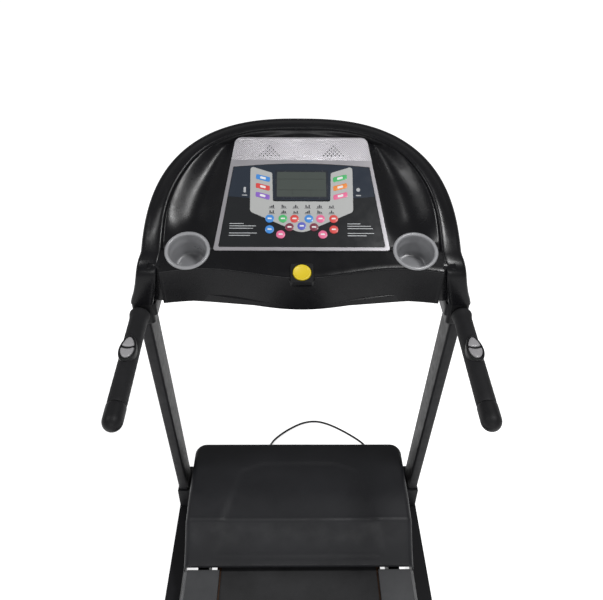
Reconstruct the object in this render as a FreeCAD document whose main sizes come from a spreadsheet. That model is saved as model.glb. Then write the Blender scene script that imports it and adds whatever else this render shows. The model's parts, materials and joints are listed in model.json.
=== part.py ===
"""Folding home treadmill: base with uprights and console, and a deck with motor that folds up on a gas strut.

Frame: +Z up, +Y is the runner's forward direction, +X to the runner's right, origin on the floor under the
middle of the machine's length and width, without the mains lead. The base and deck are drawn evenly about a
base line; the console reaches further forward, so finish() moves every sub-part back by middle_line.
All lengths are millimetres. Every size comes from the Spec spreadsheet.
"""
import FreeCAD, Part
import Sketcher
import math
import os

os.makedirs("parts", exist_ok=True)
document = FreeCAD.newDocument("Treadmill")
V = FreeCAD.Vector

DIMENSIONS = {
    # the middle of the overall length, console included, seen from the drawing's base line
    "middle_line": 60.3,
    # overall places along Y
    "front_end": 785, "rear_end": -785, "upright_line": 660, "pivot_line": 700, "pivot_height": 110,
    # base frame
    "rail_centre": 349, "rail_width": 40, "rail_bottom": 12, "rail_height": 50, "base_rear": 220,
    "tube_wall": 2, "plate": 6, "pivot_radius": 6, "axle_radius": 4, "wheel_setback": 29, "wheel_rise": 14,
    "wheel_radius": 24.6, "strut_pin_radius": 5,
    # uprights and console placing
    "upright_width": 27, "upright_depth": 70, "upright_lean": 5, "upright_top": 936, "upright_level": 300,
    "panel_line": 594.3, "panel_height": 1047.35, "panel_tilt": 31, "apron_tilt": 22,
    "shell_wall": 3, "dome_half_width": 338.5, "dome_length": 338, "dome_power": 2.55,
    # cup holders and safety key
    "cup_place": 238.5, "cup_line": 595.2, "cup_height": 1047.8, "cup_rim": 47.6, "cup_mouth": 39,
    "cup_floor": 33, "cup_depth": 57, "key_line": 544, "key_height": 1026.9, "key_radius": 18.8,
    # handrails
    "handrail_place": 348, "handrail_height": 914, "handrail_line": 557, "handrail_droop": 5,
    "handrail_length": 296, "tube_radius": 15, "grip_radius": 19.3, "pod_line": 433, "pod_width": 34,
    "pod_length": 72,
    # deck
    "frame_inner": 245, "frame_tube": 30, "frame_bottom": 82, "frame_top": 146, "belt_half_width": 210,
    "belt_thickness": 2, "board_top": 150, "board_thickness": 18, "board_half_width": 222,
    "roller_radius": 23, "roller_half_length": 220, "roller_height": 127, "front_roller_line": 460,
    "rear_roller_line": -735, "shaft_radius": 7.5, "rail_outer": 308, "rail_top": 166, "cap_line": -733,
    # drive
    "motor_line": 610, "motor_height": 152, "motor_radius": 46, "roller_pulley": 40, "motor_pulley": 14,
    "flywheel_radius": 50, "hood_front": 720, "hood_rear": 375, "hood_top": 262, "hood_bottom": 130,
    "hood_half_width": 310.6, "hood_wall": 3,
    # strut
    "strut_base_line": 660, "strut_base_height": 56, "strut_deck_line": 325, "strut_deck_height": 60,
    "strut_radius": 11, "strut_rod_radius": 5, "strut_tie_bottom": 88, "strut_tie_depth": 12,
    # mains switch
    "rocker_setback": 27, "rocker_height": 91, "trunnion_radius": 1.6,
    # running fits
    "fit": 0.05, "gap": 0.3,
}


class Size:
    """A length that carries both its value and the spreadsheet expression it comes from."""

    def __init__(self, value, text):
        self.value = value
        self.text = text

    def __add__(self, other):
        return Size(self.value + number(other), f"({self.text} + {words(other)})")

    def __sub__(self, other):
        return Size(self.value - number(other), f"({self.text} - {words(other)})")

    def __mul__(self, other):
        return Size(self.value * number(other), f"({self.text} * {words(other)})")

    def __truediv__(self, other):
        return Size(self.value / number(other), f"({self.text} / {words(other)})")

    def __neg__(self):
        return Size(-self.value, f"(-1 * {self.text})")

    def __radd__(self, other):
        return Size(other + self.value, f"({other} + {self.text})")

    def __rsub__(self, other):
        return Size(other - self.value, f"({other} - {self.text})")

    def __rmul__(self, other):
        return self * other


def number(size):
    """The plain value of a Size or a number."""
    return size.value if isinstance(size, Size) else size


def words(size):
    """The expression text of a Size or a number."""
    return size.text if isinstance(size, Size) else repr(size)


def make_sheet():
    """Write the driving dimensions to the spreadsheet, one alias per row."""
    sheet = document.addObject("Spreadsheet::Sheet", "Spec")
    for row, (alias, value) in enumerate(DIMENSIONS.items(), start=1):
        sheet.set(f"A{row}", alias)
        sheet.set(f"B{row}", str(value))
        sheet.setAlias(f"B{row}", alias)
    document.recompute()
    return sheet


spec = make_sheet()
d = {alias: Size(float(spec.get(alias)), f"Spec.{alias}") for alias in DIMENSIONS}
nodes = []
helpers = {}

AXES = {"X": (V(0, 1, 0), 90), "Y": (V(1, 0, 0), -90), "Z": (V(0, 0, 1), 0)}


def label_for(name):
    """A label no other helper has, so that boolean operands never share one."""
    helpers[name] = helpers.get(name, 0) + 1
    return f"{name}_{helpers[name]}"


def bind(thing, path, size):
    """Set a property, or bind it to its expression where the size comes from the sheet."""
    if isinstance(size, Size):
        thing.setExpression(path, size.text)
    else:
        target, _, last = path.rpartition(".")
        if target:
            thing.setExpression(path, repr(float(size)))
        else:
            setattr(thing, last, size)


def place(thing, at, axis=V(0, 0, 1), angle=0):
    """Bind a placement: a point, and a turn of angle degrees about axis."""
    thing.Placement = FreeCAD.Placement(V(*[number(c) for c in at]), FreeCAD.Rotation(axis, number(angle)))
    for letter, coordinate in zip("xyz", at):
        bind(thing, f"Placement.Base.{letter}", coordinate)
    if isinstance(angle, Size):
        bind(thing, "Placement.Rotation.Angle", angle)
    return thing


def block(x, y, z, name="block"):
    """A box given by its low and high side along each axis."""
    box = document.addObject("Part::Box", label_for(name))
    for side, (low, high) in zip(("Length", "Width", "Height"), (x, y, z)):
        bind(box, side, high - low)
    return place(box, (x[0], y[0], z[0]))


def rod(radius, along, span, at, name="rod"):
    """A cylinder along one axis between two stations, at the other two coordinates."""
    cylinder = document.addObject("Part::Cylinder", label_for(name))
    bind(cylinder, "Radius", radius)
    bind(cylinder, "Height", span[1] - span[0])
    points = {"X": (span[0], at[0], at[1]), "Y": (at[0], span[0], at[1]), "Z": (at[0], at[1], span[0])}
    return place(cylinder, points[along], *AXES[along])


def fuse(*things, name="fused"):
    """One solid from several touching ones."""
    joined = document.addObject("Part::MultiFuse", label_for(name))
    joined.Shapes = list(things)
    return joined


def cut(base, *tools, name="cut"):
    """The base without the tools."""
    result = document.addObject("Part::Cut", label_for(name))
    result.Base = base
    result.Tool = tools[0] if len(tools) == 1 else group(*tools)
    return result


def group(*things):
    """Separate solids carried as one object."""
    bundle = document.addObject("Part::Compound", label_for("group"))
    bundle.Links = list(things)
    return bundle


def node(thing, name):
    """Name a finished sub-part and keep it for export."""
    thing.Label = name
    nodes.append(thing)
    return thing


def square_tube(x, y, z, along, wall):
    """A rectangular steel tube, open at both ends of its length."""
    inside = []
    for letter, (low, high) in zip("XYZ", (x, y, z)):
        inside.append((low, high) if letter == along else (low + wall, high - wall))
    return cut(block(x, y, z), block(*inside))


def plane_of(body, role):
    """One of the body's own origin planes or axes."""
    for feature in body.Origin.OriginFeatures:
        if feature.Role == role:
            return feature
    raise ValueError(role)


def outline(body, role, points):
    """A closed sketch of straight sides whose corners are bound to their sizes."""
    sketch = body.newObject("Sketcher::SketchObject", label_for("outline"))
    sketch.AttachmentSupport = [(plane_of(body, role), "")]
    sketch.MapMode = "FlatFace"
    count = len(points)
    corners = [V(number(u), number(v), 0) for u, v in points]
    for i in range(count):
        sketch.addGeometry(Part.LineSegment(corners[i], corners[(i + 1) % count]), False)
    for i in range(count):
        sketch.addConstraint(Sketcher.Constraint("Coincident", i, 2, (i + 1) % count, 1))
    for i, (u, v) in enumerate(points):
        for kind, size in (("DistanceX", u), ("DistanceY", v)):
            index = sketch.addConstraint(Sketcher.Constraint(kind, -1, 1, i, 1, number(size)))
            if isinstance(size, Size):
                sketch.setExpression(f"Constraints[{index}]", size.text)
    return sketch


def turned(points, name, at, axis=V(0, 0, 1), angle=0):
    """A body revolved about its own Z from (radius, height) corners."""
    body = document.addObject("PartDesign::Body", label_for(name))
    sketch = outline(body, "XZ_Plane", points)
    turn = body.newObject("PartDesign::Revolution", label_for("turn"))
    turn.Profile = sketch
    turn.ReferenceAxis = (sketch, ["V_Axis"])
    turn.Angle = 360
    body.Tip = turn
    return place(body, at, axis, angle)


def extruded(points, name, start, length, role="YZ_Plane"):
    """A body padded from a straight-sided outline. On YZ_Plane it grows along +X from start."""
    body = document.addObject("PartDesign::Body", label_for(name))
    sketch = outline(body, role, points)
    pad = body.newObject("PartDesign::Pad", label_for("pad"))
    pad.Profile = sketch
    bind(pad, "Length", length)
    body.Tip = pad
    return place(body, start)


SIDES = (("left", -1), ("right", 1))
WHEEL_AT = (d["front_end"] - d["wheel_setback"], d["rail_bottom"] + d["wheel_rise"])
STRUT_FOOT = (d["strut_base_line"], d["strut_base_height"])
STRUT_HEAD = (d["strut_deck_line"], d["strut_deck_height"])
UPRIGHT_FOOT = number(d["rail_bottom"] + d["rail_height"])
CROSS_TIES = (320, 20, -280, -580)


def span(side, low, high):
    """A low and high X for the right side, mirrored for the left."""
    return (low, high) if side > 0 else (-high, -low)


# ------------------------------------------------------------------ base frame
def make_base():
    """Two floor tubes, three cross tubes, upright sockets, pivot plates and strut lugs: one welding."""
    half = d["rail_width"] / 2
    low, top = d["rail_bottom"], d["rail_bottom"] + d["rail_height"]
    inner, outer = d["rail_centre"] - half, d["rail_centre"] + half
    pieces = []
    for _, side in SIDES:
        tube = square_tube(span(side, inner, outer), (d["base_rear"], d["front_end"]), (low, top), "Y",
                           d["tube_wall"])
        wheel_bay = block(span(side, inner + 5, outer - 5), (d["front_end"] - 62, d["front_end"] + 1),
                          (low - 1, top - 6))
        axle_hole = rod(d["axle_radius"] + d["fit"], "X", span(side, inner - 1, outer + 1), WHEEL_AT)
        pieces.append(cut(tube, wheel_bay, axle_hole))
        plate_x = span(side, inner - d["plate"], inner)
        plate = block(plate_x, (d["pivot_line"] - 42, d["pivot_line"] + 42),
                      (low + 18, d["pivot_height"] + 26))
        hole = rod(d["pivot_radius"], "X", span(side, inner - 10, inner + 1),
                   (d["pivot_line"], d["pivot_height"]))
        pieces.append(cut(plate, hole))
        socket = block(span(side, inner + 3, outer - 3), (d["upright_line"] - 27, d["upright_line"] + 63),
                       (top, top + 84))
        pieces.append(cut(socket, upright_block(side, 0.25, UPRIGHT_FOOT - 4)))
    rear_tie = (d["base_rear"] + 10, 40, low + 3, 38)
    middle_tie = (d["strut_base_line"] - 20, 40, low + 2, 26)
    front_tie = (d["front_end"] - 40, 36, low + 6, 40)
    for start, width, base, height in (rear_tie, middle_tie, front_tie):
        pieces.append(square_tube((-inner, inner), (start, start + width), (base, base + height), "X",
                                  d["tube_wall"]))
    lug_hole = rod(d["strut_pin_radius"] + d["fit"], "X", (-25, 25), STRUT_FOOT)
    for x in (-20, 15):
        lug = block((x, x + 5), (d["strut_base_line"] - 15, d["strut_base_line"] + 15), (low + 28, low + 58))
        pieces.append(cut(lug, lug_hole))
    node(fuse(*pieces), "base_frame")


def upright_block(side, grow=0, foot=UPRIGHT_FOOT):
    """The leaning outline of one upright, grown by a clearance on every face."""
    lean = d["upright_lean"]
    half = d["upright_width"] / 2 + grow
    deep = d["upright_depth"] + 2 * grow
    box = document.addObject("Part::Box", label_for("upright"))
    bind(box, "Length", half * 2)
    bind(box, "Width", deep)
    bind(box, "Height", d["upright_top"] - UPRIGHT_FOOT)
    rise = math.tan(math.radians(number(lean)))
    x = d["rail_centre"] * side - half
    y = d["upright_line"] + (d["upright_level"] - foot) * rise - deep / 2
    return place(box, (x, y, foot), V(1, 0, 0), lean)


def make_uprights():
    for name, side in SIDES:
        outside = upright_block(side)
        inside = upright_block(side, -d["tube_wall"])
        node(cut(outside, inside), f"{name}_upright")


def make_feet():
    pads = []
    for _, side in SIDES:
        for y in (d["base_rear"] + 30, d["front_end"] - 130):
            pads.append(block(span(side, d["rail_centre"] - 16, d["rail_centre"] + 16), (y, y + 50),
                              (0, d["rail_bottom"])))
    node(group(*pads), "rubber_feet")
    plugs = []
    wall = d["tube_wall"]
    low, high = d["rail_bottom"], d["rail_bottom"] + d["rail_height"]
    for _, side in SIDES:
        x = span(side, d["rail_centre"] - 20 + wall, d["rail_centre"] + 20 - wall)
        plugs.append(block(x, (d["base_rear"] - 4, d["base_rear"] + 20), (low + wall, high - wall)))
    node(group(*plugs), "tube_end_plugs")


def hex_bolt(side, x_head, reach, at):
    """A hexagon bolt along X: its head at x_head outside, its shank reaching inwards."""
    head = document.addObject("Part::Prism", label_for("hex"))
    head.Polygon = 6
    head.Circumradius = 7.4
    head.Height = 5
    start = x_head if side > 0 else -x_head - 5
    place(head, (start, at[0], at[1]), *AXES["X"])
    shank = rod(4, "X", span(side, x_head - reach, x_head), at)
    return fuse(head, shank)


def make_bolts():
    bolts = []
    for _, side in SIDES:
        outer = d["rail_centre"] + d["rail_width"] / 2 - 3
        for z in (88, 122):
            lean = (d["upright_level"] - z) * math.tan(math.radians(number(d["upright_lean"])))
            bolts.append(hex_bolt(side, outer, 0.8, (d["upright_line"] + lean, z)))
    node(group(*bolts), "upright_bolts")
    pins = []
    for _, side in SIDES:
        inner = d["rail_centre"] - d["rail_width"] / 2
        at = (d["pivot_line"], d["pivot_height"])
        shank = rod(d["pivot_radius"], "X", span(side, d["frame_inner"] - 1, inner), at)
        head = rod(d["pivot_radius"] + 4, "X", span(side, d["frame_inner"] - 8, d["frame_inner"] - 1), at)
        pins.append(fuse(shank, head))
    node(group(*pins), "pivot_bolts")
    axles = []
    for _, side in SIDES:
        half = d["rail_width"] / 2
        axles.append(rod(d["axle_radius"], "X", span(side, d["rail_centre"] - half, d["rail_centre"] + half),
                         WHEEL_AT))
    pin = d["strut_pin_radius"]
    axles.append(fuse(rod(pin, "X", (-22, 22), STRUT_FOOT), rod(pin + 3, "X", (22, 25), STRUT_FOOT)))
    node(group(*axles), "frame_pins")
    for name, side in SIDES:
        bore, tread = d["axle_radius"] + d["fit"], d["wheel_radius"]
        points = [(bore, -13), (tread - 4.6, -13), (tread - 2.6, -12), (tread, -9), (tread, 9),
                  (tread - 2.6, 12),
                  (tread - 4.6, 13), (bore, 13)]
        wheel = turned(points, "wheel", (d["rail_centre"] * side, *WHEEL_AT), *AXES["X"])
        node(wheel, f"{name}_transport_wheel")


# ------------------------------------------------------------------ console
def tilted(point, tilt, line, height):
    """A point (x, along, above) of a tilted plane, in the machine's frame."""
    x, along, above = point
    c, s = math.cos(math.radians(tilt)), math.sin(math.radians(tilt))
    return V(x, line + along * c - above * s, height + along * s + above * c)


def on_panel(x, along, above):
    """A point given on the control panel's plane, from the middle of its bottom edge."""
    return tilted((x, along, above), number(d["panel_tilt"]), number(d["panel_line"]),
                  number(d["panel_height"]))


def dome_outline(inset, above):
    """The console's outline on a plane above the panel: a superellipse closed by two sides and a foot."""
    wide = number(d["dome_half_width"]) - inset
    long = number(d["dome_length"]) - inset
    power = 2 / number(d["dome_power"])
    steps = 28
    points = []
    for i in range(steps + 1):
        angle = math.pi * i / steps
        c, s = math.cos(angle), math.sin(angle)
        points.append(on_panel(math.copysign(abs(c) ** power, c) * wide, 3 + s ** power * long, above))
    curve = Part.BSplineCurve()
    curve.interpolate(points)
    foot = [points[-1], on_panel(-wide - 8, -150, above), on_panel(wide + 8, -150, above), points[0]]
    sides = [Part.LineSegment(foot[i], foot[i + 1]).toShape() for i in range(3)]
    return Part.Wire([curve.toShape()] + sides)


def console_block(inset):
    """The console's outside, or its inside where inset is the wall: three crossed outlines."""
    rounding = ((0, -320), (0, -16), (4, -6), (13, 0), (24, 6))
    prism = Part.makeLoft([dome_outline(inset + more, above) for more, above in rounding], True, True)
    apron = math.tan(math.radians(number(d["apron_tilt"])))
    line, height = number(d["panel_line"]), number(d["panel_height"])
    front, floor = line - 66, height - 105
    side = [V(0, front, floor), V(0, front, height - 66 * apron), V(0, line, height), on_panel(0, 360, 0),
            on_panel(0, 360, -30), V(0, line + 195, height - 2), V(0, line + 90, floor + 14),
            V(0, line + 45, floor)]
    profile = Part.Face(Part.makePolygon(side + side[:1]))
    if inset:
        profile = Part.Face(profile.makeOffset2D(-inset).Wires[0])
    slab = profile.extrude(V(800, 0, 0))
    slab.translate(V(-400, 0, 0))
    bow = Part.BSplineCurve()
    bow.interpolate([V(x, line + y + inset, 0) for x, y in
                     ((-400, -43), (-200, -38), (0, -58), (200, -38), (400, -43))])
    edge = [V(400, line - 43 + inset, 0), V(400, line + 500, 0), V(-400, line + 500, 0),
            V(-400, line - 43 + inset, 0)]
    back = [Part.LineSegment(edge[i], edge[i + 1]).toShape() for i in range(3)]
    plan = Part.Face(Part.Wire([bow.toShape()] + back)).extrude(V(0, 0, 1600))
    return prism.common(slab).common(plan)


def arm_block(side, inset):
    """The sleeve that comes down from the console over one upright, or its inside."""
    line, height = number(d["panel_line"]), number(d["panel_height"])
    rings = []
    for inner, outer, near, far, z in ((318, 367, -42, 54, height - 165 - 4 * inset),
                                       (318, 367, -42, 54, height - 108),
                                       (296, 340, -44, 56, height - 12)):
        x0, x1 = side * (inner + inset), side * (outer - inset)
        y0, y1 = line + near + inset, line + far - inset
        rings.append(Part.makePolygon([V(x0, y0, z), V(x1, y0, z), V(x1, y1, z), V(x0, y1, z), V(x0, y0, z)]))
    return Part.makeLoft(rings, True, True)


def shell_part(shape, name):
    """A console shell held as a free shape, because crossed outlines have no sketch of their own."""
    part = document.addObject("Part::Feature", name)
    part.Shape = shape
    part.Placement = FreeCAD.Placement(V(0, 0, 0), FreeCAD.Rotation())
    return node(part, name)


def tilted_box(centre, size, tilt):
    """A box centred on a tilted plane."""
    box = Part.makeBox(*size, V(-size[0] / 2, -size[1] / 2, -size[2] / 2))
    box.rotate(V(0, 0, 0), V(1, 0, 0), tilt)
    box.translate(centre)
    return box


def cup_cylinder(radius, low, high, seat):
    """A cylinder about one cup holder's axis, between two heights above its seat."""
    round_bar = Part.makeCylinder(radius, high - low, V(0, 0, low))
    round_bar.rotate(V(0, 0, 0), V(1, 0, 0), number(d["apron_tilt"]))
    round_bar.translate(seat)
    return round_bar


def make_console():
    wall = number(d["shell_wall"])
    outside = console_block(0)
    inside = console_block(wall)
    arms = [arm_block(side, 0) for _, side in SIDES]
    hollows = [arm_block(side, wall) for _, side in SIDES]
    line, height = number(d["panel_line"]), number(d["panel_height"])
    low, high = V(0, line - 70, height - 106), V(0, line + 330, height + 150)
    slope = high - low
    above = Part.Face(Part.makePolygon([low - slope, high + slope, high + slope + V(0, 0, 600),
                                        low - slope + V(0, 0, 600), low - slope])).extrude(V(900, 0, 0))
    above.translate(V(-450, 0, 0))
    openings, collars = [], []
    for _, side in SIDES:
        seat = tilted((side * number(d["cup_place"]), 0, 0), number(d["apron_tilt"]), number(d["cup_line"]),
                      number(d["cup_height"]))
        rim = number(d["cup_rim"])
        openings.append(cup_cylinder(rim - 4, -80, 40, seat))
        openings.append(cup_cylinder(rim + 0.8, 0, 40, seat))
        collars.append(cup_cylinder(rim + 3.8, -wall, 40, seat).common(outside))
        droop = math.radians(number(d["handrail_droop"]))
        start = V(side * number(d["handrail_place"]), number(d["handrail_line"]) + 60,
                  number(d["handrail_height"]) + 60 * math.tan(droop))
        openings.append(Part.makeCylinder(number(d["tube_radius"]) + 0.2, 140, start,
                                          V(0, -math.cos(droop), -math.sin(droop))))
    window = [on_panel(x, v, -60) for x, v in ((-180, 5), (180, 5), (143, 274), (-143, 274), (-180, 5))]
    normal = on_panel(0, 0, 1) - on_panel(0, 0, 0)
    openings.append(Part.Face(Part.makePolygon(window)).extrude(normal * 90))
    key_seat = V(0, number(d["key_line"]), number(d["key_height"]))
    openings.append(tilted_box(key_seat, (49, 45, 60), number(d["apron_tilt"])))
    upper = outside.common(above).fuse(arms).removeSplitter().cut([inside] + hollows)
    upper = upper.fuse(collars).cut(openings)
    lower = outside.cut([above] + arms).cut([inside] + hollows)
    shell_part(upper, "console_upper_shell")
    shell_part(lower, "console_lower_shell")


def on_tilt(points, depth, name, tilt, at):
    """A plate padded from an outline and laid on a tilted plane, its underside at the plane."""
    body = extruded(points, name, (0, 0, 0), depth, role="XY_Plane")
    return place(body, at, V(1, 0, 0), tilt)


def make_panel():
    line, height, tilt = d["panel_line"], d["panel_height"], d["panel_tilt"]
    lift = on_panel(0, 0, 0.02) - on_panel(0, 0, 0)
    at = (0, line + lift.y, height + lift.z)
    frame_points = [(-185, 0), (185, 0), (147, 280), (-147, 280)]
    window_points = [(-176, 7), (176, 7), (150, 215), (-150, 215)]
    frame = on_tilt(frame_points, 4, "bezel", tilt, at)
    sunk = on_panel(0, 0, -3)
    window = on_tilt(window_points, 12, "window", tilt, (0, sunk.y, sunk.z))
    node(cut(frame, window), "console_bezel")
    film_points = [(-175.5, 7.5), (175.5, 7.5), (149.5, 214.5), (-149.5, 214.5)]
    under = on_panel(0, 0, 0.1)
    film = on_tilt(film_points, 2.4, "film", tilt, (0, under.y, under.z))
    lens = on_tilt([(-54.5, 127.6), (54.5, 127.6), (54.5, 191.4), (-54.5, 191.4)], 8, "lens", tilt,
                   (0, sunk.y, sunk.z))
    node(cut(film, lens), "keypad_overlay")
    deep = on_panel(0, 0, -12)
    module = on_tilt([(-54, 128), (54, 128), (54, 191), (-54, 191)], 13.6, "lcd", tilt,
                     (0, deep.y, deep.z))
    node(module, "lcd_module")
    board_at = on_panel(0, 0, -20)
    board = on_tilt([(-130, 20), (130, 20), (120, 205), (-120, 205)], 1.6, "board", tilt,
                    (0, board_at.y, board_at.z))
    node(board, "console_board")
    cones = []
    for _, side in SIDES:
        seat = on_panel(side * 73, 247, -18)
        cones.append(turned([(0, 0), (12, 0), (12, 8), (27, 14), (27, 17.8), (0, 17.8)], "speaker",
                            (seat.x, seat.y, seat.z), V(1, 0, 0), tilt))
    node(group(*cones), "console_speakers")


def make_cups():
    rim, mouth, floor, depth = d["cup_rim"], d["cup_mouth"], d["cup_floor"], d["cup_depth"]
    for name, side in SIDES:
        points = [(0, -depth), (floor, -depth), (mouth, 2), (rim - 4, 3.4), (rim, 1.6), (rim, 0.05),
                  (rim - 4.4, 0.05), (mouth + 3, -2), (floor + 3, -depth - 3), (0, -depth - 3)]
        cup = turned(points, "cup", (d["cup_place"] * side, d["cup_line"], d["cup_height"]), V(1, 0, 0),
                     d["apron_tilt"])
        node(cup, f"{name}_cup_holder")


def make_key():
    tilt = d["apron_tilt"]
    centre = V(0, number(d["key_line"]), number(d["key_height"]))
    c, s = math.cos(math.radians(number(tilt))), math.sin(math.radians(number(tilt)))
    low = centre - V(0, -s, c) * 16
    body = on_tilt([(-24.4, -22.4), (24.4, -22.4), (24.4, 22.4), (-24.4, 22.4)], 15, "socket", tilt,
                   (0, low.y, low.z))
    seat = centre - V(0, -s, c) * 4
    dish = turned([(0, 0), (d["key_radius"] + 0.7, 0), (d["key_radius"] + 0.7, 6), (0, 6)], "dish",
                  (0, seat.y, seat.z), V(1, 0, 0), tilt)
    node(cut(body, dish), "safety_key_socket")
    seat = centre - V(0, -s, c) * 3.9
    key = turned([(0, 0), (d["key_radius"], 0), (d["key_radius"], 8), (d["key_radius"] - 1.5, 9.5),
                  (d["key_radius"] - 3, 9.5), (d["key_radius"] - 4, 8.4), (0, 8.4)], "key",
                 (0, seat.y, seat.z), V(1, 0, 0), tilt)
    node(key, "safety_key")


# ------------------------------------------------------------------ handrails
def rail_point(side, along, above=0):
    """A point along one handrail's axis, measured from the upright towards the runner."""
    droop = math.radians(number(d["handrail_droop"]))
    c, s = math.cos(droop), math.sin(droop)
    return (d["handrail_place"] * side, d["handrail_line"] - (along * c + above * s),
            d["handrail_height"] - (along * s - above * c))


def rail_turn(side, points, along, name):
    """A body revolved about the handrail's axis."""
    return turned(points, name, rail_point(side, along), V(1, 0, 0), 90 + d["handrail_droop"])


def make_handrails():
    caps = []
    reach, thin, thick = d["handrail_length"], d["tube_radius"], d["grip_radius"]
    for name, side in SIDES:
        tube = rail_turn(side, [(thin - 2, -12), (thin, -12), (thin, reach - 10), (thin - 2, reach - 10)], 0,
                         "handrail")
        node(tube, f"{name}_handrail_tube")
        grip = rail_turn(side, [(thin, 7.2), (thick + 1.5, 7.2), (thick + 2.5, 12), (thick + 1.5, 18),
                                (thick, 24),
                                (thick, reach - 44), (thin, reach - 44)], 0, "grip")
        seat = rail_point(side, number(d["handrail_line"] - d["pod_line"]), 13)
        pod_room = pod_shape(0, 16, seat, "pod_room")
        node(cut(grip, pod_room), f"{name}_grip")
        cap = rail_turn(side, [(thin, reach - 43.6), (thick + 0.5, reach - 43.6), (thick + 0.5, reach - 8),
                               (thick - 4, reach + 4), (thick - 11, reach + 10), (0, reach + 12),
                               (0, reach - 9.6), (thin, reach - 9.6)], 0, "cap")
        caps.append(cap)
    node(group(*caps), "grip_caps")


def pod_shape(inset, depth, seat, name, drop=0):
    """A round-ended plate the size of a switch pod, lying on the handrail."""
    wide, long = d["pod_width"] / 2 - inset, d["pod_length"] / 2 - inset
    quarter = [(wide * 0.35, long), (wide * 0.8, long * 0.75), (wide, long * 0.35)]
    below = [(u, -v) for u, v in quarter]
    half = quarter + below[::-1]
    points = [(-u, v) for u, v in half] + half[::-1]
    body = extruded(points, name, (0, 0, 0), depth, role="XY_Plane")
    return place(body, (seat[0], seat[1], seat[2] + drop), V(1, 0, 0), d["handrail_droop"])


def button_shape(seat, ends, depth, name):
    """A thumb button: one half of the pod's oval, from near the middle to the pod's end."""
    near, far = ends
    points = [(-10.5, near), (10.5, near), (9.5, (near + far) / 2), (4, far), (-4, far),
              (-9.5, (near + far) / 2)]
    if far < near:
        points = points[::-1]
    body = extruded(points, name, (0, 0, 0), depth, role="XY_Plane")
    return place(body, seat, V(1, 0, 0), d["handrail_droop"])


def make_pods():
    along = number(d["handrail_line"] - d["pod_line"])
    for name, side in SIDES:
        seat = rail_point(side, along, 15.1)
        pod = pod_shape(0.2, 8, seat, "pod")
        holes = []
        for ends in ((3.6, 29.6), (-3.6, -29.6)):
            room = [(-11, ends[0] * 0.9), (11, ends[0] * 0.9), (10, (ends[0] + ends[1]) / 2),
                    (4.5, ends[1] * 1.02),
                    (-4.5, ends[1] * 1.02), (-10, (ends[0] + ends[1]) / 2)]
            hole = extruded(room if ends[1] > 0 else room[::-1], "button_room", (0, 0, 0), 8, role="XY_Plane")
            holes.append(place(hole, rail_point(side, along, 17.6), V(1, 0, 0), d["handrail_droop"]))
        node(cut(pod, *holes), f"{name}_switch_pod")
        for word, ends in (("up", (3.6, 29.6)), ("down", (-3.6, -29.6))):
            button = button_shape(rail_point(side, along, 19.2), ends, 5.4, "button")
            node(button, f"{name}_button_{word}")


# ------------------------------------------------------------------ deck
def make_deck():
    inner, outer = d["frame_inner"], d["frame_inner"] + d["frame_tube"]
    low, high, wall = d["frame_bottom"], d["frame_top"], d["tube_wall"]
    pieces = []
    front, rear = d["hood_front"] - 6, d["rear_end"] + 40
    for _, side in SIDES:
        tube = square_tube(span(side, inner, outer), (rear, front), (low, high), "Y", wall)
        bores = []
        for y in (d["front_roller_line"], d["rear_roller_line"]):
            bores.append(rod(d["shaft_radius"] + 0.02, "X", span(side, inner - 1, outer - 5),
                             (y, d["roller_height"])))
        sleeve_at = (d["pivot_line"], d["pivot_height"])
        sleeve = rod(15, "X", span(side, inner, d["rail_centre"] - 27), sleeve_at)
        pieces.append(cut(fuse(cut(tube, *bores), sleeve),
                          rod(d["pivot_radius"] + d["fit"], "X",
                              span(side, inner - 2, d["rail_centre"] - 26), sleeve_at)))
        leg = block(span(side, inner, outer), (d["rear_end"] + 100, d["rear_end"] + 140), (16, low))
        pieces.append(leg)
    for y in CROSS_TIES:
        pieces.append(square_tube((-inner, inner), (y, y + 40), (108, 128), "X", wall))
    pieces.append(square_tube((-inner, inner), (d["strut_deck_line"] - 20, d["strut_deck_line"] + 20),
                              (d["strut_tie_bottom"], d["strut_tie_bottom"] + d["strut_tie_depth"]), "X",
                              wall))
    for x in (-20, 15):
        pieces.append(block((x, x + 5), (d["strut_deck_line"] - 12, d["strut_deck_line"] + 12),
                            (d["strut_deck_height"] - 12, d["strut_tie_bottom"])))
    pieces.append(rod(4, "X", (-22, 22), STRUT_HEAD))
    pieces.append(block((-inner, inner), (d["motor_line"] - 62, d["motor_line"] + 62), (90, 94)))
    pieces.append(square_tube((-inner, inner), (front - 24, front), (84, 99), "X", wall))
    node(fuse(*pieces), "deck_frame")
    node(block((-d["board_half_width"], d["board_half_width"]),
               (d["rear_roller_line"] + 34, d["front_roller_line"] - 46),
               (d["board_top"] - d["board_thickness"], d["board_top"])), "running_deck")
    pads = []
    for y in CROSS_TIES:
        for _, side in SIDES:
            pads.append(block(span(side, 150, 190), (y + 2, y + 38),
                              (128, d["board_top"] - d["board_thickness"])))
    node(group(*pads), "deck_cushions")
    leg_foot = (d["rear_end"] + 98, d["rear_end"] + 142)
    pads = [block(span(side, inner, outer), leg_foot, (0, 16)) for _, side in SIDES]
    node(group(*pads), "deck_feet")


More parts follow.
